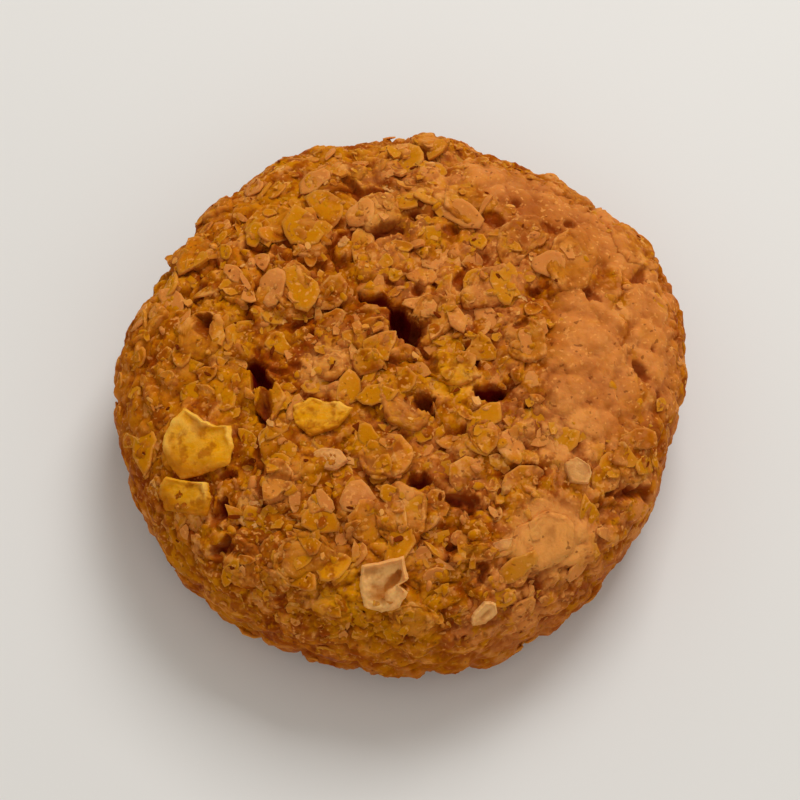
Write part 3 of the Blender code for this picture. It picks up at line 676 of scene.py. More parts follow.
def broken_layer(points, size, lean, dome, step, groove, width, salt):
    """One layer of broken pieces: each cell is a leaning, slightly domed plate at its own level with a groove round it.

    Gives the height, the groove's depth and the cell's own random number.
    """
    ragged = wandered(points, size, WARP_SHARE, salt)
    nearest, second, winner, away = lump_cells(ragged, size, salt + 3)
    own = lattice_random(winner, salt + 6)
    tilt = 2 * lattice_row(winner, salt + 7) - 1
    gap = groove * bell(second - nearest, width)
    height = lean * np.sum(away * tilt, axis=-1) + dome * (DOME_MIDDLE - nearest**2) + step * (own - 0.5)
    return height - gap, gap, own


def pores(points):
    """Depth of the small round holes: one in some of the cells, deepest in its middle."""
    nearest, _, winner, _ = lump_cells(points, PORE_SIZE, PORE_SALT)
    open_here = lattice_random(winner, PORE_SALT + 3) < PORE_SHARE
    radius = PORE_RADIUS * (0.5 + lattice_random(winner, PORE_SALT + 4))
    return np.where(open_here, PORE_DEPTH * np.clip(1 - (nearest / radius) ** 2, 0, 1), 0)


def pit_depth(points, normals, pits, margin=0.0):
    """How deep the given holes and cracks go: each is the lower half of a ball, ragged on two scales.

    A margin widens them all.
    """
    ragged = wandered(points, PIT_RAGGED_SIZE, PIT_RAGGED_SHARE, PIT_SALT)
    ragged = wandered(ragged, PIT_CRUMB_SIZE, PIT_CRUMB_SHARE, PIT_SALT + 3)
    deepest = np.zeros(len(points))
    for x, y, length, width, spin, depth in pits:
        reach = np.clip(1 - oval_distance(ragged, x, y, length + margin, width + margin, spin), 0, 1)
        deepest = np.maximum(deepest, depth * np.sqrt(reach))
    return np.where(normals[:, 2] > PIT_SLOPE, deepest, 0)


def all_pits():
    """Every hole and crack, with each curved crack as a row of short ones along its bend."""
    pits = [*PITS.values(), *FINE_CRACKS]
    for x, y, radius, start, end, width, depth in CURVED_CRACKS.values():
        steps = 1 + round(radius * math.radians(end - start) / CRACK_STEP)
        for turn in np.linspace(start, end, steps):
            bend = math.radians(turn)
            place = (x + radius * math.cos(bend), y + radius * math.sin(bend))
            pits.append((*place, 2 * CRACK_STEP, width, turn + 90, depth))
    return pits


ALL_PITS = all_pits()


def upright(normals):
    """1 where the surface stands upright, falling to 0 where it faces up or down at an eighth turn or less."""
    return np.clip(1 - UPRIGHT_FADES * np.abs(normals[:, 2]), 0, 1)


def fine_strength(points, normals):
    """How strong the finer layers are: weaker by broad noise, on the side and in the smooth stretches."""
    noise = np.clip(0.5 + CALM_SWING * soft_noise(points, CALM_SIZE, CALM_SALT), 0, 1)
    share = (ROUGH_SHARE + (1 - ROUGH_SHARE) * noise) * (1 - SIDE_CALM * upright(normals))
    return share * (1 - FINE_SMOOTHING * bare_share(points, normals))


def dough_surface(points, normals):
    """The finished dough: the smooth cookie moved along its normals by every layer of relief.

    Gives the points and, for the colours, the tone of each lump, how deep it lies in a crevice, which sets the painted
    shade there, and how far it rises, which sets the painted highlight on the crests.
    """
    seat = seat_share(points)
    height, groove, crag_own = solid_relief(points, normals, seat, CRAG_SHARE)
    height += COVER_DEPTH * seat * soft_noise(points, COVER_SIZE, COVER_SALT)
    strong = fine_strength(points, normals)
    shard, shard_gap, shard_own = broken_layer(points, *SHARDS)
    grain, grain_gap, grain_own = broken_layer(points, *GRAINS)
    fuzz = FUZZ_DEPTH * soft_noise(points, FUZZ_SIZE, FUZZ_SALT)
    holes = pores(points) * (1 - seat)
    pits = pit_depth(points, normals, ALL_PITS)
    fine = strong * (shard + grain) + fuzz
    crevice = GROOVE_SHADE * groove + strong * (shard_gap + grain_gap) + holes + PIT_SHADE * pits
    tone = sum(share * own for share, own in zip(TONE_SHARES, (crag_own, shard_own, grain_own)))
    hollow = np.minimum(fine - holes - BASE_RISE, 0)
    height = np.where(normals[:, 2] < UNDERSIDE_SLOPE, hollow, height + fine - holes - pits)
    moved = points + normals * height[:, None]
    moved[:, 2] = np.maximum(moved[:, 2], 0)
    return moved, tone, crevice, fine


def cube_sphere(squares):
    """Directions and quads of a closed cube surface, cut into this many squares each way and evened out.

    A face's places run from -1 to 1, and their tangents over an eighth turn space the directions evenly. Places on
    the cube's edges are shared by whole-number coordinates.
    """
    steps = np.arange(squares + 1)
    first, second = np.meshgrid(steps, steps, indexing="ij")
    sheets = []
    for axis in range(3):
        for level, flip in ((0, True), (squares, False)):
            corner = np.zeros(first.shape + (3,), np.int64)
            corner[..., axis] = level
            corner[..., (axis + 1) % 3] = second if flip else first
            corner[..., (axis + 2) % 3] = first if flip else second
            sheets.append(corner)
    lattice = np.stack(sheets).reshape(-1, 3)
    places, index = np.unique(lattice, axis=0, return_inverse=True)
    index = index.reshape(len(sheets), squares + 1, squares + 1)
    quads = np.stack([index[:, :-1, :-1], index[:, 1:, :-1], index[:, 1:, 1:], index[:, :-1, 1:]], axis=-1)
    even = np.tan((2 * places / squares - 1) * math.pi / 4)
    return even / np.linalg.norm(even, axis=-1, keepdims=True), quads.reshape(-1, 4)


def solid_shift():
    """How far the solid was moved in x and y to put the middle of its box over the origin."""
    points, normals = smooth_cookie(cube_sphere(SOLID_SQUARES)[0])
    height, _, _ = solid_relief(points, normals, seat_share(points))
    height = np.where(normals[:, 2] < UNDERSIDE_SLOPE, 0, height)
    moved = points + normals * height[:, None]
    middle = (moved.min(axis=0) + moved.max(axis=0)) / 2
    return np.array([middle[0], middle[1], 0])


SHIFT = solid_shift()


def ball_grid(around, rings):
    """Angle and swing of each point of a ball of rings between two poles, and its quads and triangles."""
    swing = np.repeat(math.pi * np.arange(1, rings) / rings, around)
    turn = np.tile(2 * math.pi * np.arange(around) / around, rings - 1)
    turn = np.concatenate([[0], turn, [0]])
    swing = np.concatenate([[0], swing, [math.pi]])
    ring = 1 + np.arange((rings - 1) * around).reshape(rings - 1, around)
    beside = np.roll(ring, -1, axis=1)
    quads = np.stack([ring[:-1], ring[1:], beside[1:], beside[:-1]], axis=-1).reshape(-1, 4)
    last = len(turn) - 1
    top = np.stack([np.zeros(around, np.int64), ring[0], beside[0]], axis=-1)
    bottom = np.stack([np.full(around, last), beside[-1], ring[-1]], axis=-1)
    return turn, swing, quads, np.concatenate([top, bottom])


def repeated(faces, copies, points_each):
    """The same faces for each copy, with the numbers of its own points."""
    return (faces[None] + points_each * np.arange(copies)[:, None, None]).reshape(-1, faces.shape[1])


def new_piece(name, points, quads, triangles=None, crisp=False, **values):
    """A smooth mesh object from points in millimetres and their faces, with one named value for each point.

    A crisp one has sharp edges where its faces meet at a steep angle.
    """
    mesh = bpy.data.meshes.new(name)
    triangles = np.zeros((0, 3), np.int64) if triangles is None else triangles
    corners = np.concatenate([quads.ravel(), triangles.ravel()])
    sizes = np.concatenate([np.full(len(quads), 4), np.full(len(triangles), 3)])
    mesh.vertices.add(len(points))
    mesh.vertices.foreach_set("co", (points * MM).astype(np.float32).ravel())
    mesh.loops.add(len(corners))
    mesh.loops.foreach_set("vertex_index", corners.astype(np.int32))
    mesh.polygons.add(len(sizes))
    mesh.polygons.foreach_set("loop_start", (np.cumsum(sizes) - sizes).astype(np.int32))
    mesh.update(calc_edges=True)
    mesh.shade_smooth()
    if crisp:
        mesh.set_sharp_from_angle(angle=CRISP_EDGE)
    for label, value in values.items():
        layer = mesh.attributes.new(label, "FLOAT", "POINT")
        layer.data.foreach_set("value", np.asarray(value, np.float32).ravel())
    piece = bpy.data.objects.new(name, mesh)
    bpy.context.scene.collection.objects.link(piece)
    return piece


def swell_at(middle):
    """How far the broad swelling lifts the dough at one place."""
    return SWELL_DEPTH * soft_noise(middle[None, :], SWELL_SIZE, SWELL_SALT)[0]


def chipped_edge(turn, reach):
    """How far out the edge of a chip lies at each angle: its corners lie evenly round it, each with its own reach.

    The reach goes evenly from one corner to the next, times the cosine that makes each side nearly straight.
    """
    sides = reach.shape[-1]
    half = math.pi / sides
    place = turn % (2 * math.pi) / (2 * half)
    corner = np.minimum(place.astype(np.int64), sides - 1)
    share = place - corner
    here, there = np.take_along_axis(reach, corner, -1), np.take_along_axis(reach, (corner + 1) % sides, -1)
    straight = math.cos(half) / np.cos((share * 2 - 1) * half)
    return (here * (1 - share) + there * share) * straight


def cornered_edge(turn, corners):
    """How far out the edge of a polygon round the middle lies at each angle.

    On the side from corner p to corner q it is p x q over u x (q - p), with u the way out and x the flat cross product.
    """
    corners = np.array(sorted(corners, key=lambda corner: math.atan2(corner[1], corner[0])))
    after = np.roll(corners, -1, axis=0)
    side = np.searchsorted(np.arctan2(corners[:, 1], corners[:, 0]), turn, side="right") - 1
    here, there = corners[side], after[side]
    across = here[:, 0] * there[:, 1] - here[:, 1] * there[:, 0]
    return across / (np.cos(turn) * (there - here)[:, 1] - np.sin(turn) * (there - here)[:, 0])


def flake_outline(turn, number, corners):
    """How far out the edge of a large flake lies at each angle: between the solid's waves and a chip, with a torn edge.

    Its corners are given, or else five to seven are drawn for this flake.
    """
    wavy = 1 + sum(share * np.sin(waves * turn + waves * number) for waves, share in EDGE_WAVES)
    round_it = np.stack([3 * np.cos(turn), 3 * np.sin(turn), np.full(len(turn), 9.0 * number)], axis=-1)
    torn = soft_noise(round_it, 1.0, FLAKE_SALT) + FRAYED_SHARE * soft_noise(4 * round_it, 1.0, FLAKE_SALT + 5)
    torn *= FLAKE_TORN_SHARE
    if corners:
        return cornered_edge(turn, corners) + torn / 2
    reaches = np.random.default_rng(FLAKE_SALT + number).uniform(*CORNER_REACHES, 5 + number % 3)
    return wavy + FLAKE_CHIPPED_SHARE * (chipped_edge(turn, reaches) - wavy) + torn


def flake_level(flake, out, lowered):
    """Height above the smooth cookie of a large flake's middle plane, and its rise to the top at each way out."""
    direction, _, _, spin, stand_out = flake
    level = swell_at(surface_frame(direction, spin)[0]) + SEAT_LEVEL + stand_out - FLAKE_THICKNESS / 4 - lowered
    rise = np.clip(1 - out ** (2 / FLAKE_FLATNESS), 0, 1) ** (FLAKE_FLATNESS / 2) * FLAKE_THICKNESS / 2
    return level, rise


def large_flake(number, flake, directions, look):
    """Points of one large oat flake: a flat ball with a torn edge, a crease along it, fine wrinkles and curled ends.

    Where it is crusted over, the dough's own broken layers lie on it too, and it bends down into the holes. Gives
    the points and, for the colours, the tone of each, how deep it lies in a crease or groove, which sets the painted
    shade there, how far it rises, which sets the painted highlight on its rim and wrinkles, how browned it is, and how
    calm the dough round it is.
    """
    direction, length, width, spin, _ = flake
    turn = np.arctan2(directions[:, 1], directions[:, 0])
    out = np.clip(np.hypot(directions[:, 0], directions[:, 1]), 0, 1) ** FLAKE_FLATNESS
    side = np.sign(directions[:, 2])
    edge = flake_outline(turn, number, look.corners)
    along, across = out * edge * np.cos(turn) * length / 2, out * edge * np.sin(turn) * width / 2
    level, rise = flake_level(flake, out, FLAKE_LOWERED * look.crusted)
    upper = np.clip(side, 0, 1)
    top = upper * np.clip(4 * rise, 0, 1)
    place = np.stack([along, across, np.full(len(turn), 7.0 * number)], axis=-1)
    wander = CREASE_WANDER * soft_noise(place, CREASE_WANDER_SIZE, FLAKE_SALT + 1)
    crease = look.crease * bell(across + wander, FLAKE_CREASE_WIDTH) * top
    crease *= np.clip(CREASE_START - CREASE_FADES * out, 0, 1)
    wrinkle = sum(share * soft_noise(place, size, FLAKE_SALT + salt) for size, share, salt in WRINKLES)
    wrinkle *= look.wrinkled * top
    turned_up = 0.5 + 0.5 * np.cos(turn - CURL_SIDE)
    ground, normals = draped(direction, spin, along, across)
    cup = look.curl * (out**4 + look.rim * bell(out - RIM_AT, RIM_WIDTH) * upper) * turned_up
    cup *= np.clip(CURL_FADES * normals[:, 2] - CURL_LESS, 0, 1)
    shard, shard_gap, shard_own = broken_layer(ground, *SHARDS)
    grain, grain_gap, grain_own = broken_layer(ground, *GRAINS)
    fine = look.crusted * (FLAKE_CRUST_SHARE * shard + grain) * fine_strength(ground, normals)
    pits = pit_depth(ground, normals, ALL_PITS)
    up = level + side * rise * look.thin + fine * top - crease + wrinkle + cup - pits
    points = ground + normals * up[:, None]
    points[:, 2] = np.maximum(points[:, 2], LEAST_HEIGHT)
    own = lattice_random(np.array([[number, 3, 5]]), FLAKE_SALT)
    crusted_tone = CRUSTED_TONES[0] * shard_own + CRUSTED_TONES[1] * grain_own
    bare_tone = BARE_TONES[0] * own + BARE_TONES[1] * out**4
    tone = look.crusted * crusted_tone + (1 - look.crusted) * bare_tone
    crevice = crease + look.crusted * (FLAKE_CRUST_SHARE * shard_gap + grain_gap) + PIT_SHADE * pits
    browned = out * (1 - turned_up) + look.browned
    return points, tone, crevice, fine + wrinkle + CURL_RISE * cup, browned, bare_share(ground, normals)


def flake_group(name, flakes, looks, squares):
    """One piece that holds the chosen large flakes, each with its own look."""
    directions, quads = cube_sphere(squares)
    made = zip(*(large_flake(number, flakes[number], directions, look) for number, look in looks.items()))
    points, *values = (np.concatenate(parts) for parts in made)
    values = dict(zip(("tone", "crevice", "rise", "browned", "calm"), values))
    return new_piece(name, points - SHIFT, repeated(quads, len(looks), len(directions)), **values)


def light_bits():
    """The small light scraps as flakes: each lies on the dough's own height there."""
    bits = []
    for x, y, *rest in LIGHT_BITS:
        direction = direction_to_top(x, y)
        points, normals = smooth_cookie(direction[None, :])
        height = np.sum((dough_surface(points, normals)[0] - points) * normals)
        bits.append((direction, *rest, height - swell_at(points[0]) - SEAT_LEVEL + BIT_STANDS_OUT))
    return bits


def toasted_height(points):
    """Height above the smooth cookie of the tops of the toasted flakes, and a very low one where none lies."""
    height = np.full(len(points), FAR_BELOW)
    for flake in TOASTED.values():
        out = way_out(points, flake)
        level, rise = flake_level(flake, out, FLAKE_LOWERED)
        height = np.where(out < FLAKE_TOP_AT, np.maximum(height, level + rise), height)
    return height


def resting_frames(count, seed, lean, margin):
    """Places spread evenly over the top and side, and the three axes of a small thing that lies there.

    Place k lies at an equal share of the area from the middle of the top, and a golden angle further round than the
    last. The upward axis is half the cookie's own normal and half the crag's, and leans at random.
    """
    random = np.random.default_rng(seed)
    area = np.cumsum(SHARE)
    widest = area[np.argmax(ALONG > LAST_CRUMB_AT * FOOT_AT)]
    shares = (np.arange(count) + random.uniform(0, 1, count)) / count
    place = np.interp(shares * widest, area, ALONG)
    turn = GOLDEN_TURN * np.arange(count) + random.uniform(-TURN_SPREAD, TURN_SPREAD, count)
    points, normals = smooth_at(place, turn)
    radius = np.hypot(points[:, 0], points[:, 1])
    middle, tone, crevice, _ = dough_surface(points, normals)
    further = dough_surface(*smooth_at(place + CRAG_STRIDE / SECTION_LENGTH, turn))[0]
    beside = dough_surface(*smooth_at(place, turn + CRAG_STRIDE / np.maximum(radius, 1)))[0]
    crag_normal = unit(np.cross(further - middle, beside - middle))
    covered = toasted_height(points) - np.sum((middle - points) * normals, axis=-1)
    middle = middle + np.clip(covered, 0, None)[:, None] * normals
    side = np.clip(SIDE_FROM * (1 - np.abs(normals[:, 2])), 0, 1)
    level = 1 - SIDE_LEVEL * side[:, None]
    normal = unit(normals + level * (crag_normal + lean * random.normal(0, 1, (count, 3))))
    long_axis = unit(np.cross(normal, random.normal(0, 1, (count, 3))))
    bare = bare_share(points, normals)
    lost = np.maximum(MOST_LOST * np.sqrt(bare), SIDE_LOST * upright(normals))
    kept = (crevice < MOST_CREVICE) & (random.uniform(0, 1, count) > lost)
    kept &= pit_depth(points, normals, ALL_PITS, margin / 3) < MOST_PIT
    kept &= seat_share(points, BARE_FLAKES) < MOST_SEAT
    kept &= pit_depth(points, normals, PITS.values(), margin) < MOST_PIT
    axes = np.stack([long_axis, np.cross(normal, long_axis), normal])
    return middle[kept], axes[:, kept], tone[kept], side[kept], bare[kept]


def scattered(name, look, count):
    """One piece of many small things, each a ball stretched along its own three axes, with a wavy, lumpy surface.

    A point's way out from the middle is multiplied by 1 and a few waves in its angle and swing, with phases of its own.
    """
    random = np.random.default_rng(look["seed"])
    turn, swing, quads, triangles = ball_grid(look["around"], look["rings"])
    margin = HOLE_MARGIN * look["length"][1]
    middle, axes, dough_tone, side, calm = resting_frames(count, look["seed"] + 1, look["lean"], margin)
    copies = len(middle)
    length = random.uniform(*look["length"], copies) * random.uniform(*LENGTH_SPREAD, copies)
    length = length * (1 - SIDE_SHORTER * side)
    width = length * random.uniform(*look["width_share"], copies)
    thick = np.clip(length * random.uniform(*look["thick_share"], copies), *look["thick"])
    phase = random.uniform(0, 2 * math.pi, (4, copies, 1))
    wave = look["uneven"]
    edge = 1 + wave * np.sin(2 * turn + phase[0]) + SECOND_WAVE * wave * np.sin(3 * turn + phase[1])
    edge = edge * chipped_edge(turn + phase[2], random.uniform(*CORNER_REACHES, (copies, look["corners"])))
    lumps = 1 + LUMP_WAVE * wave * np.sin(3 * swing + turn + phase[3]) * np.sin(swing)
    out = np.sin(swing) ** look["squareness"]
    along = out * np.cos(turn) * edge * length[:, None] / 2
    across = out * np.sin(turn) * edge * width[:, None] / 2
    up = np.sign(np.cos(swing)) * np.abs(np.cos(swing)) ** look["squareness"] * lumps * thick[:, None] / 2
    up = up + ((0.5 - look["sunk"] - SIDE_SUNK * side) * thick)[:, None] + look["curl"] * along * across
    up = up + look["cup"] * out**4 - SHOULDER_BEND * (along**2 + across**2) * (1 - np.clip(axes[2][:, 2:], 0, 1))
    ways = zip((along, across, up), axes)
    points = middle[:, None] + sum(way[..., None] * axis[:, None] for way, axis in ways)
    points[..., 2] -= np.clip(points[..., 2].max(axis=1, keepdims=True) - MOST_HEIGHT, 0, None)
    points = points.reshape(-1, 3) - SHIFT
    points[:, 2] = np.maximum(points[:, 2], LEAST_HEIGHT)
    values = {
        "tone": np.repeat(random.uniform(0, 1, copies) * OWN_TONE + dough_tone * DOUGH_TONE, len(turn)),
        "hue": np.repeat(random.uniform(0, 1, copies), len(turn)),
        # Painted shade on each small thing's underside, and a painted highlight round its edge
        "crevice": np.tile(np.clip(-np.cos(swing), 0, 1), copies) * UNDER_SHADE,
        "rise": np.tile(np.sin(swing) ** 4, copies) * CREST_HIGHLIGHT_RANGE[1],
        "calm": np.repeat(calm, len(turn)),
    }
    quads, triangles = repeated(quads, copies, len(turn)), repeated(triangles, copies, len(turn))
    return new_piece(name, points, quads, triangles, look["crisp"], **values)


class Nodes:
    """A material's nodes, added one by one: inputs are values or the sockets of earlier nodes.

    Its colour is painted in layers, with colours of the palette.
    """

    def __init__(self, name, palette):
        self.material = bpy.data.materials.new(name)
        self.material.use_nodes = True
        self.tree = self.material.node_tree
        self.shader = self.tree.nodes["Principled BSDF"]
        self.place = self.add("ShaderNodeTexCoord").outputs["Object"]
        self.axes = self.add("ShaderNodeSeparateXYZ", {0: self.place}).outputs
        self.palette = palette
        self.colour = None

    def add(self, kind, inputs=None, **settings):
        node = self.tree.nodes.new(kind)
        for name, value in settings.items():
            setattr(node, name, value)
        for key, value in (inputs or {}).items():
            self.put(node.inputs[key], value)
        return node

    def put(self, socket, value):
        if isinstance(value, bpy.types.NodeSocket):
            self.tree.links.new(value, socket)
        else:
            socket.default_value = value

    def value(self, label):
        """A value that the mesh holds for each point."""
        return self.add("ShaderNodeAttribute", attribute_name=label).outputs["Fac"]

    def noise(self, size, detail, roughness, move=0.0, drawn_out=(1.0, 1.0, 1.0)):
        """Noise whose features are about this many millimetres apart, more where drawn_out is less than 1."""
        stretch = {0: self.place, 1: drawn_out, 2: (move, move, move)}
        moved = self.add("ShaderNodeVectorMath", stretch, operation="MULTIPLY_ADD")
        inputs = {"Vector": moved.outputs[0], "Scale": 1 / (size * MM), "Detail": detail, "Roughness": roughness}
        return self.add("ShaderNodeTexNoise", inputs).outputs["Fac"]

    def pattern(self, pattern):
        """A pattern's share at each place."""
        size, low, high, least, most, *texture = pattern
        return self.between(self.noise(size, *texture), low, high, least, most)

    def math(self, operation, first, second):
        return self.add("ShaderNodeMath", {0: first, 1: second}, operation=operation).outputs[0]

    def between(self, value, low, high, least=0.0, most=1.0):
        """The value's way from low to high, as a share from least to most, held there outside."""
        inputs = {"Value": value, "From Min": low, "From Max": high, "To Min": least, "To Max": most}
        return self.add("ShaderNodeMapRange", inputs, interpolation_type="SMOOTHSTEP").outputs["Result"]

    def held(self, label, *limits):
        """The way of a value that the mesh holds between limits."""
        return self.between(self.value(label), *limits)

    def mix(self, share, first, second):
        return self.add("ShaderNodeMix", {0: share, 6: first, 7: second}, data_type="RGBA").outputs[2]

    def near(self, x, y, reach):
        """1 round the place on the top above this x and y, in millimetres, falling to 0 at this reach."""
        middle = smooth_cookie(direction_to_top(x, y)[None, :])[0][0] * MM
        away = self.add("ShaderNodeVectorMath", {0: self.place, 1: middle}, operation="DISTANCE").outputs["Value"]
        return self.between(away, reach * MM, TINT_CORE * reach * MM)

    def named(self, name):
        """A colour of the palette, as the four numbers that a colour socket takes."""
        return (*getattr(self.palette, name), 1.0)

    def paint(self, name, share, times=None):
        """Lays this share of a named colour over the colour so far."""
        share = share if times is None else self.math("MULTIPLY", share, times)
        self.colour = self.mix(share, self.colour, self.named(name))

    def ramp(self, share, stops):
        """Starts the colour afresh, by stops of (share, named colour)."""
        node = self.add("ShaderNodeValToRGB", {0: share})
        ends = node.color_ramp.elements
        while len(ends) < len(stops):
            ends.new(0.5)
        for end, (at, name) in zip(ends, stops):
            end.position, end.color = at, self.named(name)
        self.colour = node.outputs["Color"]

    def finish(self, roughness, depth):
        """Sets the shader: a baked crumb is bumpy, to this depth in millimetres, lets a little light in and is dull."""
        normal = None
        for size, detail, strength, share in BUMPS:
            height = self.noise(size, detail, BUMP_ROUGHNESS)
            inputs = {"Height": height, "Strength": strength, "Distance": depth * share * MM}
            bump = self.add("ShaderNodeBump", inputs)
            if normal:
                self.put(bump.inputs["Normal"], normal)
            normal = bump.outputs["Normal"]
        inputs = {
            "Base Color": self.colour, "Roughness": self.pattern(roughness), "Normal": normal,
            "Specular IOR Level": CRUMB_SPECULAR, "Subsurface Weight": SUBSURFACE_SHARE,
            "Subsurface Radius": SUBSURFACE_REACH, "Subsurface Scale": SUBSURFACE_DEPTH * MM,
        }
        for socket, value in inputs.items():
            self.put(self.shader.inputs[socket], value)
        return self.material


def linear(red, green, blue):
    """A picture's colour, as three numbers from 0 to 255, turned into the amounts of light that it stands for."""
    shares = np.array([red, green, blue]) / 255
    light = np.where(shares <= 0.04045, shares / 12.92, ((shares + 0.055) / 1.055) ** 2.4)
    return tuple(float(amount) for amount in light)


def paint_crumb(nodes, stops, hollow_share, hued=False):
    """Colour of baked crumb: each lump's own tone and a fine mottle pick it from the stops.

    It is yellower in patches, mostly to the left, and tanner in others, mostly to the right and where it is calm; the
    tan to the right is partly painted sheen. Over that lie fine flecks of bran and oat, fewer low on the side, the pale
    flecks partly painted glints. It is painted darker towards the bottom of the side, paler where it stands up as a
    painted highlight, and darker and redder in cracks and holes as painted shade. Small things have a hue of their
    own, golden or tan.
    """
    right = nodes.between(nodes.axes["X"], *LEFT_TO_RIGHT)
    nodes.ramp(nodes.math("ADD", nodes.value("tone"), nodes.pattern(MOTTLE)), stops)
    nodes.paint("golden_crumb", nodes.pattern(GOLDEN_PATCHES), nodes.between(nodes.axes["X"], *GOLDEN_TO_THE_LEFT))
    # Tan patches, more to the right: partly the crumb's own colour, partly painted sheen on the right
    tan = nodes.math("MULTIPLY", nodes.pattern(TAN_PATCHES), right)
    nodes.paint("tan_crumb", nodes.math("MAXIMUM", tan, nodes.held("calm", *CALM_IS_TAN)))
    nodes.paint("golden_crumb", nodes.pattern(FINE_GOLDEN), nodes.held("calm", *CALM_IS_LESS_GOLDEN))
    # Fine tan to the right, partly painted sheen
    nodes.paint("tan_crumb", nodes.pattern(FINE_TAN), nodes.between(right, *TAN_AND_SHEEN_TO_THE_RIGHT))
    for name, share, *place in TINTED_PLACES:
        nodes.paint(name, nodes.near(*place), share)
    stain = nodes.math("MULTIPLY", nodes.pattern(STAINS), nodes.held("calm", *CALM_IS_LESS_STAINED))
    # Stains, and the dough painted darker towards the bottom of the side
    nodes.paint("stain", nodes.math("MAXIMUM", stain, nodes.between(nodes.axes["Z"], *LOW_IS_DARKER)))
    if hued:
        nodes.paint("golden_crumb", nodes.held("hue", *GOLDEN_HUES))
        nodes.paint("tan_crumb", nodes.held("hue", *TAN_HUES))
    nodes.paint("bran", nodes.pattern(BRAN_FLECKS))
    # Pale oat flecks, partly painted glints
    nodes.paint("pale_crumb_and_highlight", nodes.pattern(PALE_FLECKS_AND_GLINTS), nodes.between(nodes.axes["Z"], *FLECKS_BY_HEIGHT))
    # Painted highlight where the surface rises
    nodes.paint("pale_crumb_and_highlight", nodes.held("rise", *CREST_HIGHLIGHT_RANGE, 0.0, CREST_HIGHLIGHT_SHARE))
    # Painted shade, darker and redder, in crevices, cracks, pores and holes, and under the small things
    nodes.paint("crevice", nodes.held("crevice", *CREVICE_SHADE_RANGE, hollow_share))
    # Painted shade at the bottom of the deep holes
    nodes.paint("deep_hole_shade", nodes.held("crevice", *DEEP_HOLE_SHADE_RANGE))


def dough_material(palette):
    """Baked dough: lumps from dark to light, with a browner base."""
    nodes = Nodes("baked_oat_dough", palette)
    paint_crumb(nodes, DOUGH_STOPS, DOUGH_HOLLOWS)
    nodes.paint("base_crust", nodes.between(nodes.axes["Z"], *BASE_CRUST))
    return nodes.finish(DOUGH_ROUGHNESS, DOUGH_BUMP)


def crumb_material(name, stops, palette):
    """One kind of small thing: its own tone picks each one's colour, and its hue a golden or tan tint."""
    nodes = Nodes(name, palette)
    paint_crumb(nodes, stops, CRUMB_HOLLOWS, hued=True)
    return nodes.finish(CRUMB_ROUGHNESS, CRUMB_BUMP)


def chip_material(name, stops, palette):
    """Small things of one colour that varies a little from one to the next, with painted shade underneath."""
    nodes = Nodes(name, palette)
    nodes.ramp(nodes.value("tone"), stops)
    nodes.paint(stops[0][1], nodes.pattern(CHIP_STREAKS))
    # Painted shade on each chip's underside
    nodes.paint(stops[0][1], nodes.held("crevice", *CHIP_UNDERSIDE_SHADE))
    return nodes.finish(CHIP_ROUGHNESS, CHIP_BUMP)


def flake_material(name, middle, edge, crease, crusted, stained, palette):
    """A rolled oat flake: streaks, a painted rim highlight, painted shade in its crease, and in places the dough's
    colour.
    """
    nodes = Nodes(name, palette)
    nodes.colour = nodes.named(middle)
    nodes.paint(edge, nodes.pattern(FLAKE_STREAKS))
    stain = nodes.pattern(FLAKE_STAINS._replace(most=stained))
    nodes.paint(crease, nodes.math("MAXIMUM", stain, nodes.held("browned", *FLAKE_BROWNED, stained)))
    # Painted highlight on the flake's rim and wrinkles
    nodes.paint(edge, nodes.held("rise", *FLAKE_RIM_HIGHLIGHT))
    # Painted shade in the flake's crease, gaps and holes
    nodes.paint(crease, nodes.held("crevice", *FLAKE_CREASE))
    bare = nodes.colour
    paint_crumb(nodes, DOUGH_STOPS, FLAKE_HOLLOWS)
    share = nodes.pattern(FLAKE_CRUST._replace(least=LEAST_CRUST * crusted, most=crusted))
    share = nodes.math("MAXIMUM", share, nodes.held("calm", *FLAKE_CALM, crusted))
    nodes.colour = nodes.mix(share, bare, nodes.colour)
    return nodes.finish(FLAKE_ROUGHNESS, FLAKE_BUMP)


def floor_material(look):
    """A pale matt tabletop with the faintest cloudiness."""
    nodes = Nodes("pale_tabletop", look)
    colour = nodes.mix(nodes.pattern(FLOOR_CLOUDS), nodes.named("floor"), FLOOR_CLOUD_COLOUR)
    nodes.put(nodes.shader.inputs["Base Color"], colour)
    nodes.put(nodes.shader.inputs["Roughness"], FLOOR_ROUGHNESS)
    return nodes.material


def number_setting(name, description, default, most):
    """A whole number that the panel shows."""
    return IntProperty(name=name, description=description, default=default, min=1, max=most)


def colour_setting(name, description, *default):
    """A colour that the panel shows, given as a picture has it."""
    return FloatVectorProperty(name=name, description=description, subtype="COLOR", default=linear(*default))


class CookieSizes(PropertyGroup):
    """How finely the cookie is made, and how many small things lie on it."""

    dough_squares: number_setting("Dough Detail", "Squares along each side of the dough's mesh", 127, 180)
    small_oat_flakes: number_setting("Small Flakes", "Small oat flakes on the dough", 520, 2000)
    crust_chips: number_setting("Chips", "Thin angular chips in the dough", 1300, 5000)
    dough_crumbs: number_setting("Crumbs", "Crumbs that stand out of the dough", 1300, 4000)
    bran_specks: number_setting("Bran", "Dark scraps of bran", 160, 2000)
    pale_oat_chips: number_setting("Pale Chips", "Pale chips of oat", 90, 1000)
    flake_curl: FloatProperty(
        name="Flake Curl", description="How far the edge turns up", default=TOASTED_LOOK.curl, min=0, max=2
    )


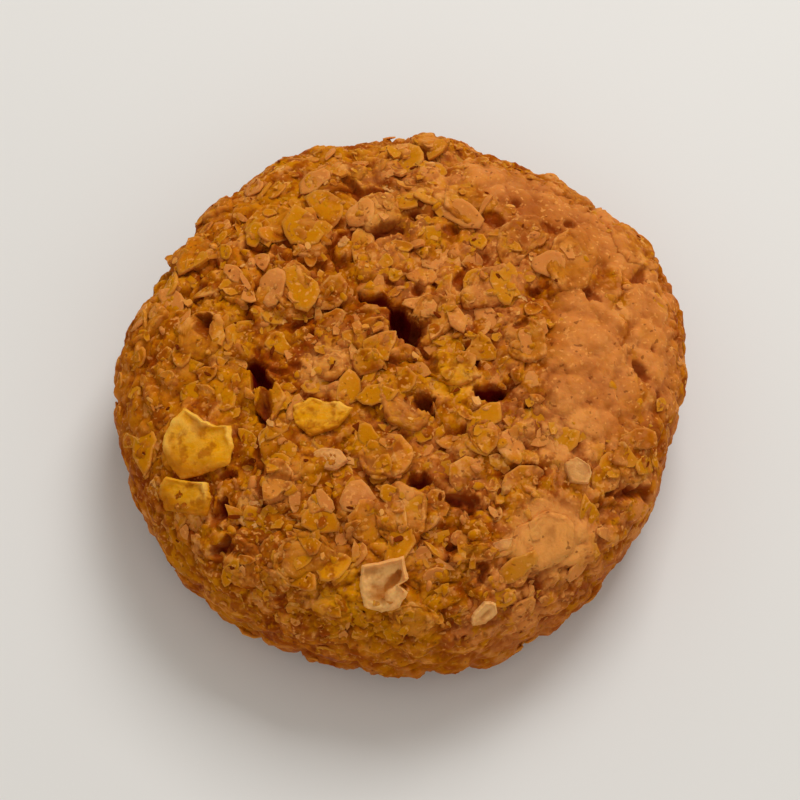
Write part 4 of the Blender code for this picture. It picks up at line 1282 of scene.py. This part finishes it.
class CookieColours(PropertyGroup):
    """Colours of the dough, the flakes and what lies on them."""

    dark_dough: colour_setting("Dark Dough", "Well browned dough", 126, 50, 0)
    dough: colour_setting("Dough", "Baked dough", 168, 86, 2)
    light_dough: colour_setting("Light Dough", "Dough that browned less", 200, 114, 12)
    # Also the painted highlight on the crests and round the small things' edges, and partly painted glints in the
    # flecks
    pale_crumb_and_highlight: colour_setting("Pale Crumb", "The palest crests", 230, 154, 76)
    golden_crumb: colour_setting("Golden Crumb", "Yellower patches", 200, 124, 0)
    tan_crumb: colour_setting("Tan Crumb", "Smoother, pinker patches", 212, 130, 62)
    # Also a painted shadow at the lower right edge, and painted towards the bottom of the side
    stain: colour_setting("Toasted Stain", "Where sugar browned more", 146, 60, 0)
    # Painted shade, darker and redder, in crevices, cracks and pores, and under the small things
    crevice: colour_setting("Crevice", "Between the crags", 134, 46, 0)
    # Painted shade at the bottom of the deep holes
    deep_hole_shade: colour_setting("Deep Hole", "The bottom of the holes", 104, 14, 6)
    base_crust: colour_setting("Base Crust", "The underside", 132, 66, 10)
    toasted_oat: colour_setting("Toasted Oat", "Most of the flakes", 210, 128, 28)
    # Also painted as the highlight on the rims of the toasted and pale flakes
    oat_edge: colour_setting("Oat Edge", "Where a flake is thin", 238, 168, 96)
    golden_oat: colour_setting("Golden Oat", "The yellow flakes", 234, 156, 4)
    # Also painted as the highlight on the golden flakes' rims
    golden_edge: colour_setting("Golden Edge", "Edge of the yellow flakes", 250, 190, 80)
    # Also painted as the highlight on the rims of the light scraps
    pale_oat: colour_setting("Pale Oat", "The cream flakes", 240, 184, 112)
    bran: colour_setting("Bran", "Husk", 100, 38, 4)


class StageLook(PropertyGroup):
    """The floor and the light."""

    floor: FloatVectorProperty(name="Floor", description="The tabletop", subtype="COLOR", default=(0.78, 0.77, 0.75))
    surroundings: FloatProperty(name="Surroundings", description="Light from all round", default=0.5, min=0)
    key: FloatProperty(name="Key Light", description="The light beyond the cookie", default=0.85, min=0, unit="POWER")
    fill: FloatProperty(name="Fill Light", description="The light beside the camera", default=0.17, min=0, unit="POWER")


def finish_piece(piece, material):
    """Gives a piece its material, and fixes it to the cookie's one body."""
    piece.data.materials.append(material)
    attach(piece, "root")


class COOKIE_OT_dough(Operator):
    """The dough with its crags, broken pieces, pores, holes and cracks."""

    bl_idname = "cookie.dough"
    bl_label = "Dough"

    def execute(self, context):
        directions, quads = cube_sphere(context.scene.cookie_sizes.dough_squares)
        smooth, normals = smooth_cookie(directions)
        points, tone, crevice, fine = dough_surface(smooth, normals)
        values = {"tone": tone, "crevice": crevice, "rise": fine, "calm": bare_share(smooth, normals)}
        piece = new_piece("cookie_dough", points - SHIFT, quads, **values)
        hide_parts("cookie")
        finish_piece(piece, dough_material(context.scene.cookie_colours))
        return {"FINISHED"}


class COOKIE_OT_flakes(Operator):
    """The large flakes, baked half into the dough: toasted, golden and pale ones, and light scraps between them."""

    bl_idname = "cookie.flakes"
    bl_label = "Oat Flakes"

    def execute(self, context):
        toasted = TOASTED_LOOK._replace(curl=context.scene.cookie_sizes.flake_curl)
        names, flakes = list(SHOWN_FLAKES), FLAKES + light_bits()
        pieces = {"oat_flakes": dict.fromkeys(TOASTED, toasted)}
        for name, looks in BARE_LOOKS.items():
            pieces[name] = {names.index(flake): look for flake, look in looks.items()}
        pieces["light_scraps"] = dict.fromkeys(range(len(FLAKES), len(flakes)), SCRAP_LOOK)
        for name, looks in pieces.items():
            squares, *material = FLAKE_PIECES[name]
            piece = flake_group(name, flakes, looks, squares)
            finish_piece(piece, flake_material(*material, context.scene.cookie_colours))
        return {"FINISHED"}


class COOKIE_OT_small_things(Operator):
    """Small flakes, thin angular chips, crumbs, scraps of bran and pale chips, all over the dough."""

    bl_idname = "cookie.small_things"
    bl_label = "Small Flakes, Chips and Crumbs"

    def execute(self, context):
        for name, look in SMALL_THINGS.items():
            piece = scattered(name, look, getattr(context.scene.cookie_sizes, name))
            material = chip_material if look["plain"] else crumb_material
            finish_piece(piece, material(look["material"], look["stops"], context.scene.cookie_colours))
        return {"FINISHED"}


def aimed(name, data, place):
    """A light or camera at a place, turned so that it looks at the cookie."""
    made = bpy.data.objects.new(name, data)
    bpy.context.scene.collection.objects.link(made)
    made.location = place
    made.rotation_euler = (Vector(CAMERA_TARGET) * MM - place).to_track_quat("-Z", "Y").to_euler()
    return made


class COOKIE_OT_stage(Operator):
    """The floor, the soft lights and the camera."""

    bl_idname = "cookie.stage"
    bl_label = "Floor, Light and Camera"

    def execute(self, context):
        look, scene = context.scene.cookie_stage, context.scene
        steps = np.linspace(-FLOOR_REACH, FLOOR_REACH, FLOOR_SQUARES + 1)
        x, y = np.meshgrid(steps, steps, indexing="ij")
        number = np.arange(x.size).reshape(x.shape)
        quads = np.stack([number[:-1, :-1], number[1:, :-1], number[1:, 1:], number[:-1, 1:]], axis=-1).reshape(-1, 4)
        floor = new_piece("tabletop", np.stack([x.ravel(), y.ravel(), np.zeros(x.size)], axis=-1), quads)
        floor.data.materials.append(floor_material(look))
        for name, (size, place) in LIGHTS.items():
            light = bpy.data.lights.new(name + "_light", "AREA")
            light.energy, light.size = getattr(look, name), size
            aimed(name + "_light", light, Vector(place))
        world = bpy.data.worlds.new("soft_studio")
        world.use_nodes = True
        background = world.node_tree.nodes["Background"]
        background.inputs["Color"].default_value = SURROUNDING_COLOUR
        background.inputs["Strength"].default_value = look.surroundings
        scene.world = world
        up = math.radians(CAMERA_HEIGHT_ANGLE)
        camera = bpy.data.cameras.new("camera")
        camera.lens, camera.clip_start = CAMERA_LENS, CAMERA_CLIP
        away = Vector((0, -math.cos(up), math.sin(up))) * CAMERA_DISTANCE * MM
        scene.camera = aimed("camera", camera, Vector(CAMERA_TARGET) * MM + away)
        scene.view_settings.view_transform = "Standard"
        return {"FINISHED"}


class COOKIE_PT_panel(Panel):
    """Lists the cookie's sizes, colours and pieces."""

    bl_idname = "COOKIE_PT_panel"
    bl_label = "Oatmeal Cinnamon Cookie"
    bl_space_type = "VIEW_3D"
    bl_region_type = "UI"
    bl_category = "Cookie"

    def draw(self, context):
        for group in (context.scene.cookie_sizes, context.scene.cookie_colours, context.scene.cookie_stage):
            box = self.layout.box()
            for name in group.__annotations__:
                box.prop(group, name)
        for operator in OPERATORS:
            self.layout.operator(operator.bl_idname)


OPERATORS = (COOKIE_OT_dough, COOKIE_OT_flakes, COOKIE_OT_small_things, COOKIE_OT_stage)
GROUPS = {"cookie_sizes": CookieSizes, "cookie_colours": CookieColours, "cookie_stage": StageLook}


def register():
    for group in GROUPS.values():
        bpy.utils.register_class(group)
    for name, group in GROUPS.items():
        setattr(bpy.types.Scene, name, PointerProperty(type=group))
    for kind in (*OPERATORS, COOKIE_PT_panel):
        bpy.utils.register_class(kind)


def unregister():
    for kind in (COOKIE_PT_panel, *reversed(OPERATORS)):
        bpy.utils.unregister_class(kind)
    for name in GROUPS:
        delattr(bpy.types.Scene, name)
    for group in GROUPS.values():
        bpy.utils.unregister_class(group)


def main():
    """Makes every piece and the stage."""
    register()
    bpy.ops.cookie.dough()
    bpy.ops.cookie.flakes()
    bpy.ops.cookie.small_things()
    bpy.ops.cookie.stage()


if __name__ == "__main__":
    main()
